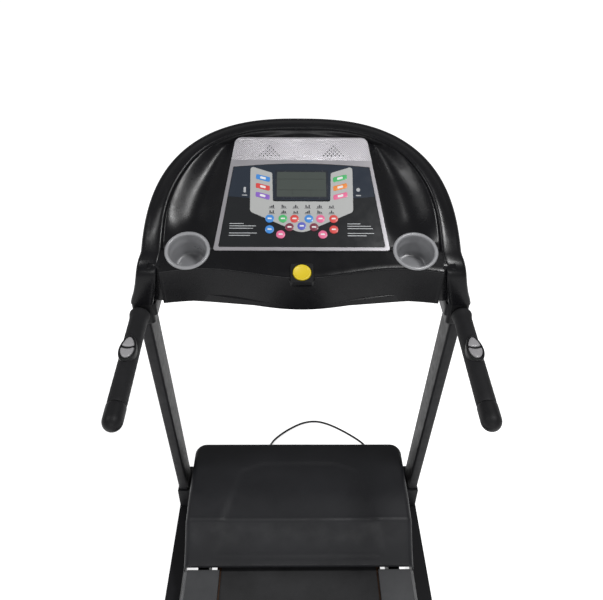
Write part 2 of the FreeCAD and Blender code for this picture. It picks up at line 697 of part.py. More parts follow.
def loop_belt(name, ends, thickness, across):
    """A flat belt round two pulleys, from (line, height, radius) ends, as wide as across."""
    (y0, z0, r0), (y1, z1, r1) = [[number(v) for v in end] for end in ends]
    thickness = number(thickness)
    distance = math.hypot(y1 - y0, z1 - z0)
    lean = math.atan2(z1 - z0, y1 - y0)
    turn = math.asin((r0 - r1) / distance)
    faces = []
    for grow in (0, thickness):
        arcs = []
        for (y, z, r), start, stop in (((y0, z0, r0 + grow), lean + math.pi / 2 - turn,
                                        lean + 3 * math.pi / 2 + turn),
                                       ((y1, z1, r1 + grow), lean - math.pi / 2 + turn,
                                        lean + math.pi / 2 - turn)):
            ring = [V(number(across[0]), y + r * math.cos(a), z + r * math.sin(a))
                    for a in (start, (start + stop) / 2, stop)]
            arcs.append(ring)
        first, second = arcs
        edges = [Part.Arc(*first).toShape(), Part.LineSegment(first[2], second[0]).toShape(),
                 Part.Arc(*second).toShape(), Part.LineSegment(second[2], first[0]).toShape()]
        faces.append(Part.Face(Part.Wire(edges)))
    belt = document.addObject("Part::Feature", name)
    depth = V(number(across[1]) - number(across[0]), 0, 0)
    belt.Shape = faces[1].extrude(depth).cut(faces[0].extrude(depth))
    belt.Placement = FreeCAD.Placement(V(0, 0, 0), FreeCAD.Rotation())
    return node(belt, name)


def make_rollers():
    r, reach = d["roller_radius"], d["roller_half_length"]
    bore = d["shaft_radius"] + d["fit"]
    for name, line in (("front", d["front_roller_line"]), ("rear", d["rear_roller_line"])):
        points = [(bore, -reach), (r, -reach), (r, reach), (bore, reach)]
        if name == "front":
            points = [(bore, -reach), (r, -reach), (r, reach - 9), (d["roller_pulley"] + 2, reach - 9),
                      (d["roller_pulley"] + 2, reach - 7), (d["roller_pulley"], reach - 7),
                      (d["roller_pulley"], reach + 11), (d["roller_pulley"] + 2, reach + 11),
                      (d["roller_pulley"] + 2, reach + 13), (bore, reach + 13)]
        roller = turned(points, f"{name}_roller", (0, line, d["roller_height"]), *AXES["X"])
        hollow = turned([(bore + 5, -reach + 12), (r - 2.5, -reach + 12), (r - 2.5, reach - 12),
                         (bore + 5, reach - 12)], "hollow", (0, line, d["roller_height"]), *AXES["X"])
        node(cut(roller, hollow), f"{name}_roller")
    shafts = [rod(d["shaft_radius"], "X", (-d["frame_inner"] - 24, d["frame_inner"] + 24),
                  (y, d["roller_height"]))
              for y in (d["front_roller_line"], d["rear_roller_line"])]
    node(group(*shafts), "roller_shafts")
    loop_belt("running_belt", ((d["rear_roller_line"], d["roller_height"], r + d["gap"]),
                               (d["front_roller_line"], d["roller_height"],
                                r + d["gap"])), d["belt_thickness"],
              (-d["belt_half_width"], d["belt_half_width"]))


def make_drive():
    y, z = d["motor_line"], d["motor_height"]
    can = turned([(9, 0), (30, 0), (34, 6), (d["motor_radius"], 14), (d["motor_radius"], 166), (34, 174),
                  (30, 180),
                  (9, 180)], "motor", (5, y, z), *AXES["X"])
    saddle = block((20, 170), (y - 34, y + 34), (94, z - 30))
    node(fuse(can, saddle), "drive_motor")
    shaft = d["shaft_radius"]
    rotor = turned([(0, -6), (shaft, -6), (shaft, 190), (d["flywheel_radius"], 190),
                    (d["flywheel_radius"], 202),
                    (d["motor_pulley"] + 2, 202), (d["motor_pulley"] + 2, 207), (d["motor_pulley"], 207),
                    (d["motor_pulley"], 227), (d["motor_pulley"] + 2, 227), (d["motor_pulley"] + 2, 229),
                    (0, 229)],
                   "rotor", (5, y, z), *AXES["X"])
    node(rotor, "motor_flywheel")
    loop_belt("drive_belt", ((d["front_roller_line"], d["roller_height"], d["roller_pulley"] + d["gap"]),
                             (d["motor_line"], d["motor_height"], d["motor_pulley"] + d["gap"])), 2.5,
              (d["roller_half_length"] - 6, d["roller_half_length"] + 10))
    board = block((-220, -40), (y - 50, y + 50), (112, 114))
    sink = block((-210, -150), (y - 40, y + 40), (114, 150))
    can = rod(14, "Z", (114, 152), (-110, y - 20))
    second = rod(14, "Z", (114, 152), (-75, y - 20))
    coil = block((-125, -70), (y + 10, y + 44), (114, 142))
    posts = [block((x, x + 8), (y + w, y + w + 8), (94, 112)) for x in (-215, -55) for w in (-48, 40)]
    node(fuse(board, sink, can, second, coil, *posts), "motor_controller")


def make_hood():
    def side(inset):
        low = d["hood_bottom"] - (1 if inset else 0)
        return [(d["hood_front"] - inset, low), (d["hood_front"] - inset, d["hood_top"] - 22 - inset * 0.6),
                (d["hood_front"] - 7 - inset, d["hood_top"] - 7 - inset),
                (d["hood_front"] - 24, d["hood_top"] - inset),
                (560, d["hood_top"] - inset), (470, d["hood_top"] - 12 - inset),
                (d["hood_rear"] + inset * 2, d["rail_top"] + 8 - inset), (d["hood_rear"] + inset * 2, low)]
    half, wall = d["hood_half_width"], d["hood_wall"]
    outer = extruded(side(0), "hood", (-half, 0, 0), half * 2)
    inner = extruded(side(3), "hood_hollow", (-half + wall, 0, 0), half * 2 - wall * 2)
    belt_gate = block((-d["belt_half_width"] - 5, d["belt_half_width"] + 5),
                      (d["hood_rear"] - 5, d["hood_rear"] + 12),
                      (d["hood_bottom"] - 5, 157))
    rail_gates = [block(span(s, 204, 309.5), (d["hood_rear"] - 5, d["hood_rear"] + 12),
                        (d["hood_bottom"] - 5, 167))
                  for _, s in SIDES]
    node(cut(outer, inner, belt_gate, *rail_gates), "motor_hood")
    ends = (506, d["hood_front"] - 31)
    wide = d["frame_inner"] - 0.5
    tray = block((-wide, wide), ends, (78, 89))
    pan = cut(tray, block((-wide + 2, wide - 2), (ends[0] + 2, ends[1] - 2), (80, 90)))
    node(pan, "belly_pan")
    screws = []
    for _, s in SIDES:
        for y in (440, 600):
            screws.append(rod(4.5, "X", span(s, half, half + 2.5), (y, 150)))
    node(group(*screws), "hood_screws")


def make_side_rails():
    top, outer, high = d["rail_top"], d["rail_outer"], d["frame_top"]
    for name, side in SIDES:
        points = [(214, top - 11.5), (240, top - 11.5), (240, high), (276, high), (276, top - 6),
                  (outer - 4, top - 8),
                  (outer - 4, 92), (outer, 92), (outer, top - 8), (outer - 8, top), (214, top)]
        if side < 0:
            points = [(-1 * x, z) for x, z in points][::-1]
        body = extruded(points, "side_rail", (0, d["hood_rear"] - 1, 0), d["hood_rear"] - 1 - d["cap_line"],
                        role="XZ_Plane")
        node(body, f"{name}_side_rail")
        x = span(side, 224, d["rail_outer"])
        cap = cut(block(x, (d["rear_end"], d["cap_line"] - 0.2), (62, d["rail_top"] + 2)),
                  block(span(side, 243, 277), (d["rear_end"] + 30, d["cap_line"] + 1), (60, 148)),
                  block(span(side, 220, 244), (d["rear_end"] + 18, d["cap_line"] + 1), (60, 154)))
        document.recompute()
        soft = document.addObject("Part::Fillet", label_for("soft_cap"))
        soft.Base = cap
        rear = number(d["rear_end"])
        wanted = []
        for i, edge in enumerate(cap.Shape.Edges, start=1):
            box = edge.BoundBox
            if box.YMax < rear + 0.5 and edge.Length > 60:
                wanted.append((i, 12, 12))
        soft.Edges = wanted
        node(soft, f"{name}_rear_cap")


# ------------------------------------------------------------------ fold strut
def strut_geometry():
    """The strut's length and rise at rest, from its base pivot to its deck pivot."""
    y0, z0 = number(d["strut_base_line"]), number(d["strut_base_height"])
    y1, z1 = number(d["strut_deck_line"]), number(d["strut_deck_height"])
    return math.hypot(y1 - y0, z1 - z0), math.degrees(math.atan2(z1 - z0, y0 - y1))


def make_strut():
    length, rise = strut_geometry()
    at = (0, *STRUT_FOOT)
    r, thin = d["strut_radius"], d["strut_rod_radius"]
    turn = 90 - rise
    bore = thin + d["fit"]
    barrel = turned([(0, 8), (9.5, 8), (9.5, 26), (r, 28), (r, 214), (bore, 214), (bore, 44), (0, 44)],
                    "barrel", at,
                    V(1, 0, 0), turn)
    eye = rod(14, "X", (-8, 8), STRUT_FOOT)
    hole = rod(d["strut_pin_radius"] + d["fit"], "X", (-12, 12), STRUT_FOOT)
    node(cut(fuse(barrel, eye), hole), "strut_cylinder")
    rod_body = turned([(0, 60), (thin, 60), (thin, length - 16), (0, length - 16)], "piston_rod", at,
                      V(1, 0, 0), turn)
    eye = rod(18, "X", (-6.5, 6.5), STRUT_HEAD)
    hole = rod(14, "X", (-8, 8), STRUT_HEAD)
    node(cut(fuse(rod_body, eye), hole), "strut_rod")
    latch = turned([(thin + 0.6, 222), (r + 4, 222), (r + 4, 226), (r + 1, 228), (r + 1, 240), (r + 3, 242),
                    (thin + 0.6, 242)], "latch", at, V(1, 0, 0), turn)
    node(latch, "strut_latch")


# ------------------------------------------------------------------ mains inlet, lead, coil and plug
def arc_route(points, radius):
    """A tube along straight runs joined by the largest tangent arcs that the runs allow."""
    corners = [V(*p) for p in points]
    edges, here, radii = [], corners[0], []
    for before, corner, after in zip(corners, corners[1:], corners[2:]):
        back, ahead = before - corner, after - corner
        shorter = min(back.Length, ahead.Length)
        back.normalize()
        ahead.normalize()
        turn = math.pi - back.getAngle(ahead)
        bend = 0.45 * shorter / math.tan(turn / 2)
        start, stop = corner + back * (0.45 * shorter), corner + ahead * (0.45 * shorter)
        middle_way = back + ahead
        middle_way.normalize()
        middle = corner + middle_way * (bend / math.cos(turn / 2) - bend)
        edges.append(Part.LineSegment(here, start).toShape())
        edges.append(Part.Arc(start, middle, stop).toShape())
        radii.append(round(bend, 1))
        here = stop
    edges.append(Part.LineSegment(here, corners[-1]).toShape())
    wire = Part.Wire(edges)
    way = corners[1] - corners[0]
    section = Part.Wire([Part.Circle(corners[0], way, radius).toShape()])
    tube = wire.makePipeShell([section], True, False)
    expected = math.pi * radius ** 2 * wire.Length
    print("bend radii", radii)
    print("tube length", round(wire.Length, 1), "volume over section x length",
          round(tube.Volume / expected, 4))
    return tube


LEAD_RADIUS = 3.5
LEAD_ROUTE = [(-95, 812, 78), (-96, 838, 76), (-98, 866, 60), (-99, 890, 34), (-95, 914, 11), (-84, 941, 3.5),
              (-58, 968, 3.5), (-24, 995, 3.5), (20, 1021, 3.5), (66, 1029, 3.5), (108, 1017, 3.5),
              (150, 993, 3.5), (193, 962, 3.5), (231, 929, 3.5), (247, 902, 3.5), (245.5, 876, 3.5)]
COIL_CENTRE = (200, 856)


def make_mains():
    box = block((-150, -45), (d["front_end"] - 44, d["front_end"] - 2), (58, 94))
    bore = rod(5.5, "Y", (d["front_end"] - 20, d["front_end"]), (-95, 78))
    slot = block((-140, -122), (d["front_end"] - 40, d["front_end"] - 14), (84, 96))
    rocker_axis = (d["front_end"] - d["rocker_setback"], d["rocker_height"])
    trunnion_hole = rod(d["trunnion_radius"] + d["fit"], "X", (-142, -120), rocker_axis)
    node(cut(box, bore, slot, trunnion_hole), "power_box")
    rocker = extruded([(-7, 0), (7, 0), (10, 9.2), (0, 7.2), (-10, 9.2)], "rocker", (-138.5, 0, 0), 15)
    place(rocker, (-138.5, rocker_axis[0], d["rocker_height"] - 3))
    node(fuse(rocker, rod(d["trunnion_radius"], "X", (-141, -121), rocker_axis)), "power_switch")
    relief = turned([(3.5, 0), (5.5, 0), (5.5, 18), (7.5, 18), (7.5, 22), (4.6, 45), (3.5, 45)], "relief",
                    (-95, d["front_end"] - 18, 78), *AXES["Y"])
    node(relief, "strain_relief")
    lead = document.addObject("Part::Feature", "mains_cord")
    lead.Shape = arc_route(LEAD_ROUTE, LEAD_RADIUS)
    node(lead, "mains_cord")
    coil = turned([(28, 0), (49.5, 0), (49.5, 14), (28, 14)], "coil", (COIL_CENTRE[0], COIL_CENTRE[1], 0))
    node(coil, "cord_coil")
    x, y = COIL_CENTRE[0], COIL_CENTRE[1] - 45.5
    tail = turned([(0, 0), (7.5, 0), (4.6, 34), (0, 34)], "tail", (x - 52, y, 10), *AXES["X"])
    grip = block((x - 88, x - 52), (y - 13, y + 13), (0.5, 26.5))
    pins = [rod(2.4, "X", (x - 107, x - 88), (y + w, 10)) for w in (-9.5, 9.5)]
    node(fuse(tail, grip, *pins), "mains_plug")


def centre(thing):
    """Move a finished sub-part from the drawing's base line to the middle of the machine's length."""
    drawn = thing.Placement.Base.y
    for path, expression in thing.ExpressionEngine:
        if path.lstrip(".") == "Placement.Base.y":
            drawn = f"({expression})"
    thing.setExpression("Placement.Base.y", f"{drawn} - {words(d['middle_line'])}")


def finish():
    """Set the machine on its origin, check every object, then write one file for each sub-part."""
    document.recompute()
    for thing in nodes:
        centre(thing)
    document.recompute()
    for thing in document.Objects:
        if "Invalid" in thing.State or "Error" in thing.State:
            raise SystemExit(f"{thing.Label} did not build: {thing.State}")
    for thing in nodes:
        shape = thing.Shape
        if shape.isNull() or not shape.isValid() or not shape.Solids:
            raise SystemExit(f"{thing.Label} has no valid solid")
        shape.exportStep(f"parts/{thing.Label}.step")
        print(f"{thing.Label:24s} {len(shape.Solids)} solid {shape.Volume / 1000:10.1f} cm3")


for make in (make_base, make_uprights, make_feet, make_bolts, make_console, make_panel, make_cups, make_key,
             make_handrails, make_pods, make_deck, make_rollers, make_drive, make_hood, make_side_rails,
             make_strut, make_mains):
    make()
finish()
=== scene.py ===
"""Looks of a folding home treadmill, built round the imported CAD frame.

Lengths in the tables are millimetres.
"""
import bmesh
import bpy
import json
from math import atan2, copysign, cos, pi, radians, sin, sqrt, tan
from mathutils import Matrix, Vector


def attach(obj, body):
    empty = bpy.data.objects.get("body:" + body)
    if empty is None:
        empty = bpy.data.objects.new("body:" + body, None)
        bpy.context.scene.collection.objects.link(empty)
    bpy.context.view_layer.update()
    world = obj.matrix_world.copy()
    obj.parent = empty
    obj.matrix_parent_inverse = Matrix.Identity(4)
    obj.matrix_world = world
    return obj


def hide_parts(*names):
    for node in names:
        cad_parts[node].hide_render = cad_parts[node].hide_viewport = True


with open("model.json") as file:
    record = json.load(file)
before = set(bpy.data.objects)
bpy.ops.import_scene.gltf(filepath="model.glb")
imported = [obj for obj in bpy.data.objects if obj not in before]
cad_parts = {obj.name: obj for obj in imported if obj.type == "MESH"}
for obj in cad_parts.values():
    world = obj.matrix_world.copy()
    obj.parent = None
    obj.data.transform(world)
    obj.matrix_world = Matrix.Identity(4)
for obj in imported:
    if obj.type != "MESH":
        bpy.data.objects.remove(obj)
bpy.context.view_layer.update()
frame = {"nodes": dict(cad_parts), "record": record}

MM = 0.001
SIDES = (("left", -1), ("right", 1))

# The tables are laid out from the middle of base and deck, the frame from the middle of the whole machine.
BASE_LINE = Vector((0, -60.3, 0)) * MM


def at(x, y, z):
    """A point of the tables, in metres."""
    return Vector((x, y, z)) * MM


def show(name, data):
    """A new object in the scene."""
    thing = bpy.data.objects.new(name, data)
    bpy.context.scene.collection.objects.link(thing)
    return thing


def box(left, foot, right, head):
    """The corners of a rectangle, anticlockwise."""
    return [(left, foot), (right, foot), (right, head), (left, head)]


# The console's two planes, as the CAD model lays them: the panel from its foot line, the apron below it.
PANEL_LINE, PANEL_HEIGHT, PANEL_TILT = 594.3, 1047.35, radians(31)
APRON_TILT = radians(22)
DOME_HALF_WIDTH, DOME_LENGTH, DOME_POWER, DOME_FOOT = 338.5, 338, 2.55, 3
FASCIA_BOTTOM = 943


# ---------------- camera, light and floor
DOME_GLOW = 0.32
FLOOR_HALF = 14


def make_camera():
    """A camera behind the runner's place, looking down at the console."""
    location = at(-19.94, -476.0, 1764.04)
    pitch, yaw, roll = (radians(angle) for angle in (38.33, 1.11, 0.803))
    forward = Vector((sin(yaw) * cos(pitch), cos(yaw) * cos(pitch), -sin(pitch)))
    level = Vector((cos(yaw), -sin(yaw), 0))
    down = forward.cross(level)
    right = level * cos(roll) - down * sin(roll)
    up = -(level * sin(roll) + down * cos(roll))
    data = bpy.data.cameras.new("camera")
    data.lens = 36.707
    data.sensor_width = 36
    data.clip_start = 0.05
    camera = show("camera", data)
    turn = Matrix((right, up, -forward)).transposed().to_4x4()
    camera.matrix_world = Matrix.Translation(location + BASE_LINE) @ turn
    bpy.context.scene.camera = camera


def soft_light(name, place, target, size, power):
    """A rectangular soft box aimed at a point."""
    data = bpy.data.lights.new(name, "AREA")
    data.shape = "RECTANGLE"
    data.size, data.size_y = size
    data.energy = power
    lamp = show(name, data)
    lamp.location = Vector(place) + BASE_LINE
    lamp.rotation_euler = (Vector(target) - Vector(place)).to_track_quat("-Z", "Y").to_euler()


def make_studio():
    """A white sweep of floor, three soft boxes and a dome of dim light, which the camera sees as white."""
    bpy.context.scene.view_settings.view_transform = "Standard"
    world = bpy.data.worlds.new("studio")
    bpy.context.scene.world = world
    world.use_nodes = True
    tree = world.node_tree
    background = tree.nodes["Background"]
    background.inputs["Color"].default_value = (1, 1, 1, 1)
    sight = tree.nodes.new("ShaderNodeLightPath")
    strength = tree.nodes.new("ShaderNodeMapRange")
    strength.inputs["To Min"].default_value = DOME_GLOW
    strength.inputs["To Max"].default_value = 1.0
    tree.links.new(sight.outputs["Is Camera Ray"], strength.inputs["Value"])
    tree.links.new(strength.outputs["Result"], background.inputs["Strength"])
    console = (0, 0.70, 1.08)
    soft_light("box_right", (0.92, 0.16, 3.25), console, (0.42, 0.38), 37)
    soft_light("box_left", (-1.62, 0.22, 2.95), console, (0.5, 0.55), 16)
    soft_light("box_front", (0.0, -3.2, 2.2), (0, 0.2, 0.6), (3.0, 0.5), 42)
    mesh = bpy.data.meshes.new("floor")
    corners = box(-FLOOR_HALF, -FLOOR_HALF, FLOOR_HALF, FLOOR_HALF)
    mesh.from_pydata([(x, y, 0) for x, y in corners], [], [(0, 1, 2, 3)])
    floor = show("floor", mesh)
    floor.location.z = -0.0005
    paint = bpy.data.materials.new("floor_paper")
    paint.use_nodes = True
    inputs = paint.node_tree.nodes["Principled BSDF"].inputs
    for key, value in (("Base Color", (0.86, 0.86, 0.865, 1)), ("Roughness", 0.9),
                       ("Specular IOR Level", 0.1), ("Emission Color", (1, 1, 1, 1)),
                       ("Emission Strength", 0.78)):
        inputs[key].default_value = value
    mesh.materials.append(paint)


# ---------------- materials
class Recipe:
    """A material under construction: its node tree and short ways to add to it."""

    def __init__(self, name):
        self.material = bpy.data.materials.new(name)
        self.material.use_nodes = True
        self.tree = self.material.node_tree
        self.shader = self.tree.nodes["Principled BSDF"]
        self.place = self.tree.nodes.new("ShaderNodeTexCoord").outputs["Object"]

    def add(self, kind, inputs, **settings):
        made = self.tree.nodes.new(kind)
        for key, value in settings.items():
            setattr(made, key, value)
        for key, value in inputs.items():
            if isinstance(value, bpy.types.NodeSocket):
                self.tree.links.new(value, made.inputs[key])
            else:
                made.inputs[key].default_value = value
        return made

    def stretched(self, scale):
        return self.add("ShaderNodeMapping", {"Vector": self.place, "Scale": scale}).outputs["Vector"]

    def noise(self, scale, detail=4, rough=0.55, place=None):
        inputs = {"Vector": place or self.place, "Scale": scale, "Detail": detail, "Roughness": rough}
        return self.add("ShaderNodeTexNoise", inputs).outputs["Fac"]

    def spread(self, value, low, high, source=(0.3, 0.7)):
        inputs = {"Value": value, "From Min": source[0], "From Max": source[1], "To Min": low, "To Max": high}
        return self.add("ShaderNodeMapRange", inputs).outputs["Result"]

    def maths(self, operation, *values):
        return self.add("ShaderNodeMath", dict(enumerate(values)), operation=operation).outputs[0]

    def ramp(self, value, first, second, start=0.3, stop=0.7):
        made = self.add("ShaderNodeValToRGB", {"Fac": value})
        for element, position, tone in zip(made.color_ramp.elements, (start, stop), (first, second)):
            element.position = position
            element.color = (*tone, 1)
        return made.outputs["Color"]

    def bump(self, height, strength, distance, under=None):
        inputs = {"Height": height, "Strength": strength, "Distance": distance * MM}
        if under is not None:
            inputs["Normal"] = under
        return self.add("ShaderNodeBump", inputs).outputs["Normal"]

    def finish(self, colour, rough, normal, **settings):
        for key, source in (("Base Color", colour), ("Roughness", rough), ("Normal", normal)):
            self.tree.links.new(source, self.shader.inputs[key])
        for key, value in settings.items():
            self.shader.inputs[key.replace("_", " ")].default_value = value
        return self.material


def moulded(name, dark, light, rough=(0.32, 0.46), grain=2200, depth=0.05, specular=0.5):
    """Moulded plastic: a fine spark-eroded grain, faint cloudiness and slightly uneven gloss."""
    r = Recipe(name)
    colour = r.ramp(r.noise(9, 5), dark, light)
    pitted = r.bump(r.noise(grain, 2, 0.4), 0.35, depth)
    waved = r.bump(r.noise(14, 2), 0.06, 0.8, pitted)
    return r.finish(colour, r.spread(r.noise(26), *rough), waved, Specular_IOR_Level=specular)


def painted_steel(name, dark, light, rough, specular=0.5):
    """Powder-coated steel tube: orange peel under a soft gloss, with dust in its hollows."""
    r = Recipe(name)
    return r.finish(r.ramp(r.noise(6, 6), dark, light), r.spread(r.noise(60), *rough),
                    r.bump(r.noise(420, 3), 0.22, 0.12), Specular_IOR_Level=specular)


def metal(name, dark, light, rough=(0.22, 0.38), along=(900, 30, 900)):
    """Drawn or plated metal: hairlines along the draw and small stains."""
    r = Recipe(name)
    lines = r.noise(1.0, 3, place=r.stretched(along))
    return r.finish(r.ramp(r.noise(35, 5), dark, light), r.spread(lines, *rough), r.bump(lines, 0.15, 0.03),
                    Metallic=1.0)


def rubber(name, dark, light, rough=(0.6, 0.8), grain=700, depth=0.12):
    """Matt rubber or soft PVC with a dusty bloom."""
    r = Recipe(name)
    return r.finish(r.ramp(r.noise(22, 6), dark, light), r.spread(r.noise(80), *rough),
                    r.bump(r.noise(grain, 3), 0.4, depth), Specular_IOR_Level=0.35)


def foam(name, dark, light):
    """Closed-cell grip foam: open pores on a matt skin that is polished where hands hold it."""
    r = Recipe(name)
    pores = r.add("ShaderNodeTexVoronoi", {"Vector": r.place, "Scale": 620}).outputs["Distance"]
    skin = r.bump(r.noise(190), 0.3, 0.25, r.bump(pores, 0.55, 0.18))
    return r.finish(r.ramp(r.noise(30, 6), dark, light), r.spread(r.noise(16, 3), 0.62, 0.82), skin,
                    Specular_IOR_Level=0.25)


def belt_cover(name):
    """A PVC running surface pressed with small diamonds."""
    r = Recipe(name)
    slanted = r.add("ShaderNodeMapping", {"Vector": r.place, "Rotation": (0, 0, radians(45)),
                                          "Scale": (260, 260, 260)}).outputs["Vector"]
    checks = r.add("ShaderNodeTexVoronoi", {"Vector": slanted, "Scale": 1.0, "Randomness": 0.12},
                   distance="CHEBYCHEV").outputs["Distance"]
    colour = r.ramp(r.noise(12, 6), (0.012, 0.012, 0.013), (0.022, 0.022, 0.024))
    gloss = r.spread(r.noise(40, 5), 0.5, 0.68)
    return r.finish(colour, gloss, r.bump(checks, 0.5, 0.35), Specular_IOR_Level=0.4)


def laminate(name, dark, light):
    """Phenolic board: paper fibres under resin."""
    r = Recipe(name)
    fibres = r.noise(12, 8, place=r.stretched((30, 2, 30)))
    return r.finish(r.ramp(fibres, dark, light), r.spread(fibres, 0.3, 0.5),
                    r.bump(r.noise(900, 2), 0.2, 0.05))


def board_resin(name):
    """A green circuit board with lighter copper tracks under its mask."""
    r = Recipe(name)
    bricks = {"Vector": r.stretched((1, 1, 1)), "Scale": 90.0, "Mortar Size": 0.012, "Color1": (0, 0, 0, 1),
              "Color2": (0.2, 0.2, 0.2, 1), "Mortar": (1, 1, 1, 1)}
    tracks = r.add("ShaderNodeTexBrick", bricks).outputs["Color"]
    colour = r.ramp(tracks, (0.008, 0.06, 0.02), (0.03, 0.16, 0.07), 0.1, 0.9)
    return r.finish(colour, r.spread(r.noise(50), 0.25, 0.4), r.bump(tracks, 0.3, 0.05))


def printed(name, tone, rough=(0.2, 0.3), spread=0.06, coat=0.0, specular=0.5):
    """Screen-printed ink on a film: a fine halftone mottle in one tone."""
    r = Recipe(name)
    deep, bright = (tuple(c * share for c in tone) for share in (1 - spread, 1 + spread))
    return r.finish(r.ramp(r.noise(1500, 2), deep, bright), r.spread(r.noise(60), *rough),
                    r.bump(r.noise(300, 3), 0.12, 0.03), Coat_Weight=coat, Coat_Roughness=0.08,
                    Specular_IOR_Level=specular)


def hatched_silver(name, low, high):
    """Silver-lilac plastic with fine slanting lines moulded over its speaker field, with a painted highlight
    on each line's crest and painted shade in each groove.
    """
    r = Recipe(name)
    along = Vector((0, cos(PANEL_TILT), sin(PANEL_TILT)))
    foot = at(0, PANEL_LINE, PANEL_HEIGHT) + BASE_LINE
    height = r.add("ShaderNodeVectorMath", {0: r.place, 1: along}, operation="DOT_PRODUCT").outputs["Value"]
    height = r.maths("SUBTRACT", height, foot.dot(along))
    across = r.add("ShaderNodeSeparateXYZ", {"Vector": r.place}).outputs["X"]
    slant = r.maths("MULTIPLY_ADD", height, -0.75, across)
    wave = r.maths("SINE", r.maths("MULTIPLY", slant, 2 * pi / (4.2 * MM)))
    inside = r.spread(height, 0.0, 1.0, (low * MM, (low + 1.5) * MM))
    under = r.spread(height, 1.0, 0.0, ((high - 1.5) * MM, high * MM))
    lines = r.maths("MULTIPLY", wave, r.maths("MULTIPLY", inside, under))
    # Painted light and shade: the colour runs lighter on the ridges' crests and darker in their grooves, in
    # step with the bump.
    ridge_light_and_shade = r.spread(lines, 0.5, 1.0, (-1, 1))
    colour = r.ramp(ridge_light_and_shade, (0.180, 0.176, 0.188), (0.350, 0.338, 0.358), 0.5, 1.0)
    ridged = r.bump(lines, 0.5, 0.35, r.bump(r.noise(1800, 2), 0.15, 0.04))
    return r.finish(colour, r.spread(r.noise(30), 0.3, 0.42), ridged, Metallic=0.35)


def liquid_crystal(name):
    """Grey-green reflective glass with a faint cell pattern."""
    r = Recipe(name)
    cells = r.add("ShaderNodeTexChecker", {"Vector": r.place, "Scale": 900.0,
                                           "Color1": (0.045, 0.054, 0.049, 1),
                                           "Color2": (0.050, 0.060, 0.054, 1)}).outputs["Color"]
    return r.finish(cells, r.spread(r.noise(12), 0.14, 0.22), r.bump(r.noise(20, 2), 0.05, 0.2),
                    Coat_Weight=0.3, Coat_Roughness=0.05)


FINISHES = {
    "satin_black_plastic": moulded("satin_black", (0.0040, 0.0040, 0.0048), (0.0056, 0.0056, 0.0066),
                                   (0.22, 0.32), specular=0.17),
    "fine_grain_black_plastic": moulded("fine_grain_black", (0.0050, 0.0050, 0.0058),
                                        (0.0070, 0.0070, 0.0080), (0.42, 0.56), 1500, 0.09, 0.2),
    "gloss_overlay": printed("overlay_black", (0.0085, 0.0095, 0.011), (0.16, 0.22), coat=0.25,
                             specular=0.35),
    "silver_plastic": hatched_silver("silver_lilac", 219, 277),
    "lcd_glass": liquid_crystal("lcd"),
    "cup_grey": moulded("cup_grey", (0.20, 0.202, 0.212), (0.255, 0.257, 0.268), (0.26, 0.4), specular=0.6),
    "key_yellow": moulded("key_yellow", (0.58, 0.44, 0.010), (0.65, 0.50, 0.016), (0.35, 0.45)),
    "black_foam": foam("grip_foam", (0.0055, 0.0055, 0.0062), (0.0090, 0.0090, 0.0105)),
    "black_rubber": rubber("rubber", (0.012, 0.012, 0.012), (0.022, 0.022, 0.022)),
    "frame_paint": painted_steel("black_powder", (0.008, 0.008, 0.009), (0.013, 0.013, 0.015), (0.42, 0.56),
                                 0.16),
    "bare_steel": metal("steel", (0.42, 0.42, 0.43), (0.56, 0.56, 0.57)),
    "zinc_steel": metal("zinc", (0.46, 0.47, 0.49), (0.62, 0.63, 0.65), (0.3, 0.45), (200, 200, 200)),
    "chrome_rod": metal("chrome", (0.70, 0.70, 0.71), (0.80, 0.80, 0.81), (0.08, 0.16)),
    "motor_black": painted_steel("motor_enamel", (0.012, 0.012, 0.013), (0.022, 0.022, 0.024), (0.35, 0.5)),
    "belt_black": belt_cover("running_cover"),
    "board_phenolic": laminate("phenolic", (0.035, 0.016, 0.008), (0.075, 0.036, 0.018)),
    "board_green": board_resin("circuit_board"),
    "rail_grey": moulded("rail_grey", (0.040, 0.041, 0.044), (0.058, 0.059, 0.063), (0.38, 0.55), 900, 0.2),
    "silver_button": moulded("silver_button", (0.22, 0.215, 0.225), (0.28, 0.275, 0.285), (0.26, 0.36)),
    "lead_black": rubber("lead_pvc", (0.010, 0.010, 0.010), (0.016, 0.016, 0.016), (0.38, 0.5), 1200, 0.04),
}
GRAINED, SATIN = "fine_grain_black_plastic", "satin_black_plastic"
SLOT_OF = {part["node"]: part["material_slot"] for part in frame["record"]["subparts"]}


def dress_cad_nodes():
    """Give every CAD node that stays visible the finish of its material slot."""
    for name, thing in frame["nodes"].items():
        thing.data.materials.clear()
        thing.data.materials.append(FINISHES[SLOT_OF[name]])


# ---------------- mesh building
def on_plane(tilt, x, along, above):
    """A point on a plane that leans back from the panel's foot line."""
    c, s = cos(tilt), sin(tilt)
    return at(x, PANEL_LINE + along * c - above * s, PANEL_HEIGHT + along * s + above * c)


def panel(x, along, above=0.0):
    """A point on the control panel's plane: across, up the slope, and proud of it."""
    return on_plane(PANEL_TILT, x, along, above)


def apron(x, along, above=0.0):
    """A point on the apron's plane, measured like panel()."""
    return on_plane(APRON_TILT, x, along, above)


def smooth_into(mesh, builder):
    """Write a bmesh into a mesh, with every face smooth."""
    for face in builder.faces:
        face.smooth = True
    builder.to_mesh(mesh)
    builder.free()


def roll_edges(thing, width, steps, angle):
    """Round the sharp edges of an object, with the width in millimetres and the angle in degrees."""
    soft = thing.modifiers.new("soft", "BEVEL")
    soft.width = width * MM
    soft.segments = steps
    soft.limit_method = "ANGLE"
    soft.angle_limit = radians(angle)
    thing.modifiers.new("weighted", "WEIGHTED_NORMAL").keep_sharp = True


def settle(thing, body, replaces=()):
    """Say what an object rides on and which CAD nodes it stands for."""
    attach(thing, body)
    if replaces:
        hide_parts(*replaces)
    return thing


